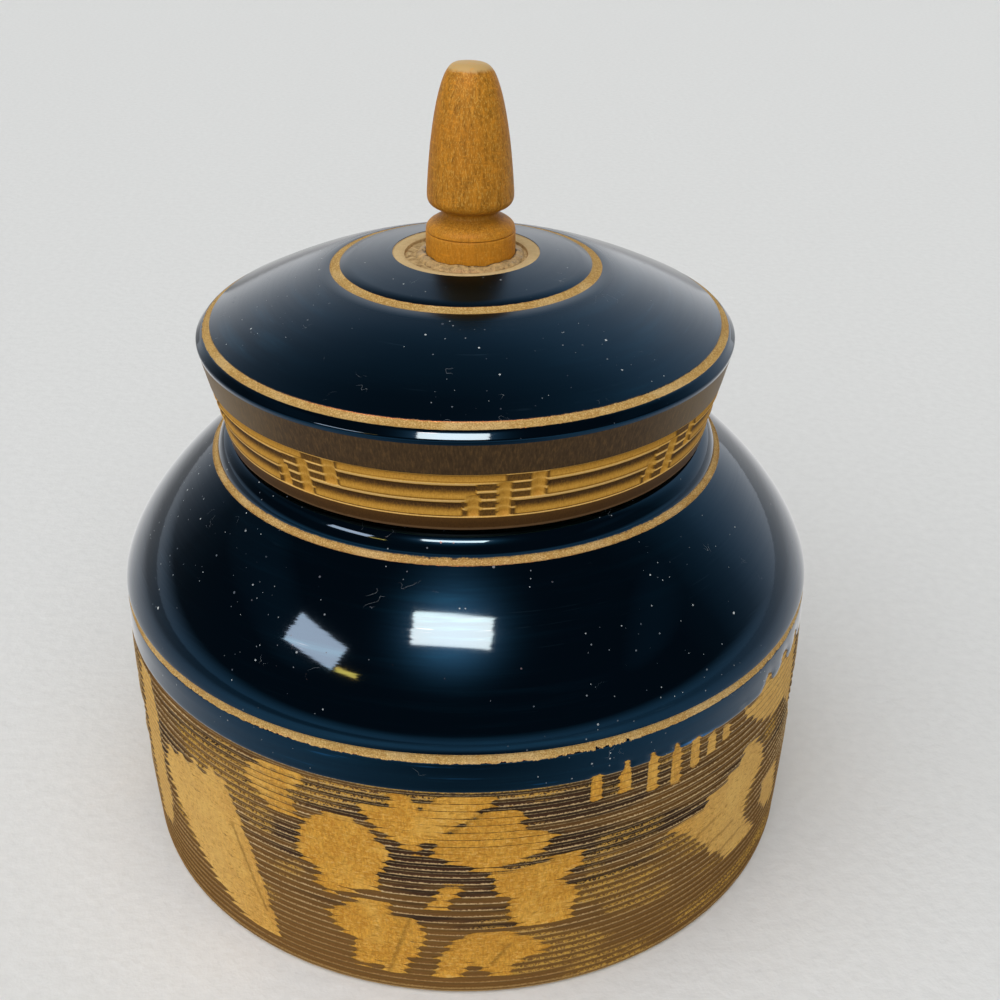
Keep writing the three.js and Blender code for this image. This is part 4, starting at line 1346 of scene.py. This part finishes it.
class TRINKETBOX_OT_lid(bpy.types.Operator):
    """Turns the lid, then chips and flutes its rim"""

    bl_idname = "trinketbox.lid"
    bl_label = "Turn Lid"

    def execute(self, context):
        sizes = context.scene.trinket_sizes
        outline, first = lid_outline(sizes)
        lid = turn("turned_lid", outline, sizes.lid_columns)
        radius, degrees, height = places(lid)
        on_rim = (radius > 37.5) & (height > LID_FOOT + 0.55) & (height < LID_EDGE - 0.4)
        depth, tone = rim_carving(degrees, height)
        depth = np.where(on_rim & (height > RIM_LOW) & (height < RIM_HIGH), depth, 0)
        move_to(lid, radius - depth, degrees, height)
        keep_on_points(lid, "tone", np.where(on_rim, tone, 0.1))
        paint_faces(lid, outline, first, len(outline), bpy.data.materials["lacquered and carved lid"],
                    bpy.data.materials["plain turned wood"])
        finish_piece(lid, "lid", "lid")
        return {"FINISHED"}


class TRINKETBOX_OT_finial(bpy.types.Operator):
    """Turns the bullet-shaped finial with its foot and tenon"""

    bl_idname = "trinketbox.finial"
    bl_label = "Turn Finial"

    def execute(self, context):
        finial = turn("turned_finial", finial_outline(), context.scene.trinket_sizes.finial_columns)
        radius, degrees, height = places(finial)
        tip = np.clip((height - FINIAL_TOP + 1.5) / 1.4, 0, 1)
        lowered = height - 0.35 * tip * np.clip(radius / 3, 0, 1) * (1 + np.sin(np.radians(degrees - 60))) / 2
        move_to(finial, radius, degrees, lowered, FINIAL_OFF_CENTRE)
        finial.data.materials.append(bpy.data.materials["honey-coloured finial wood"])
        finish_piece(finial, "lid", "finial")
        return {"FINISHED"}


class TRINKETBOX_OT_glue(bpy.types.Operator):
    """Adds the uneven ring of dried glue round the finial's foot"""

    bl_idname = "trinketbox.glue"
    bl_label = "Add Glue"

    def execute(self, context):
        top = SEAT_HEIGHT + GLUE_HEIGHT
        outline = [(GLUE_INNER, SEAT_HEIGHT), *straight((7.2, SEAT_HEIGHT), (8.6, SEAT_HEIGHT), 4),
                   *rounded((8.7, SEAT_HEIGHT + 0.05), (8.3, SEAT_HEIGHT + 0.75), (7.3, top), 8),
                   (GLUE_INNER, top), (GLUE_INNER, SEAT_HEIGHT + 0.45), (GLUE_INNER, SEAT_HEIGHT)]
        glue = turn("glue_ring", outline, context.scene.trinket_sizes.finial_columns * 2)
        radius, degrees, height = places(glue)
        angle = np.radians(degrees)
        lumps = 0.5 * np.sin(5 * angle + 1) + 0.3 * np.sin(11 * angle + 2) + 0.2 * np.sin(23 * angle)
        out = np.clip((radius - GLUE_INNER - 0.05) / 1.6, 0, 1)
        up = np.clip((height - SEAT_HEIGHT) / GLUE_HEIGHT, 0, 1)
        radius = radius - out * (0.25 + 0.25 * lumps)
        sag = (0.22 + 0.2 * np.sin(7 * angle) + 0.12 * np.sin(17 * angle + 3)) * 0.6
        height = height - GLUE_HEIGHT * up * sag
        move_to(glue, radius, degrees, np.maximum(height, SEAT_HEIGHT), FINIAL_OFF_CENTRE)
        glue.data.materials.append(bpy.data.materials["dried glue"])
        finish_piece(glue, "lid", "glue_bead", 60)
        return {"FINISHED"}


class TRINKETBOX_PT_panel(bpy.types.Panel):
    """Lists the box's pieces, sizes and colours in the sidebar"""

    bl_idname = "TRINKETBOX_PT_panel"
    bl_label = "Trinket Box"
    bl_space_type = "VIEW_3D"
    bl_region_type = "UI"
    bl_category = "Trinket Box"

    def draw(self, context):
        for step in STEPS:
            self.layout.operator(step.bl_idname)
        for settings in (context.scene.trinket_sizes, context.scene.trinket_colours):
            for name in settings.__annotations__:
                self.layout.prop(settings, name)


STEPS = (TRINKETBOX_OT_stage, TRINKETBOX_OT_finishes, TRINKETBOX_OT_pot, TRINKETBOX_OT_lid,
         TRINKETBOX_OT_finial, TRINKETBOX_OT_glue)
CLASSES = (BoxSizes, BoxColours, *STEPS, TRINKETBOX_PT_panel)


def register():
    for each in CLASSES:
        bpy.utils.register_class(each)
    bpy.types.Scene.trinket_sizes = bpy.props.PointerProperty(type=BoxSizes)
    bpy.types.Scene.trinket_colours = bpy.props.PointerProperty(type=BoxColours)


def unregister():
    del bpy.types.Scene.trinket_colours
    del bpy.types.Scene.trinket_sizes
    for each in reversed(CLASSES):
        bpy.utils.unregister_class(each)


def main():
    register()
    bpy.ops.trinketbox.stage()
    bpy.ops.trinketbox.finishes()
    bpy.ops.trinketbox.pot()
    bpy.ops.trinketbox.lid()
    bpy.ops.trinketbox.finial()
    bpy.ops.trinketbox.glue()


if __name__ == "__main__":
    main()
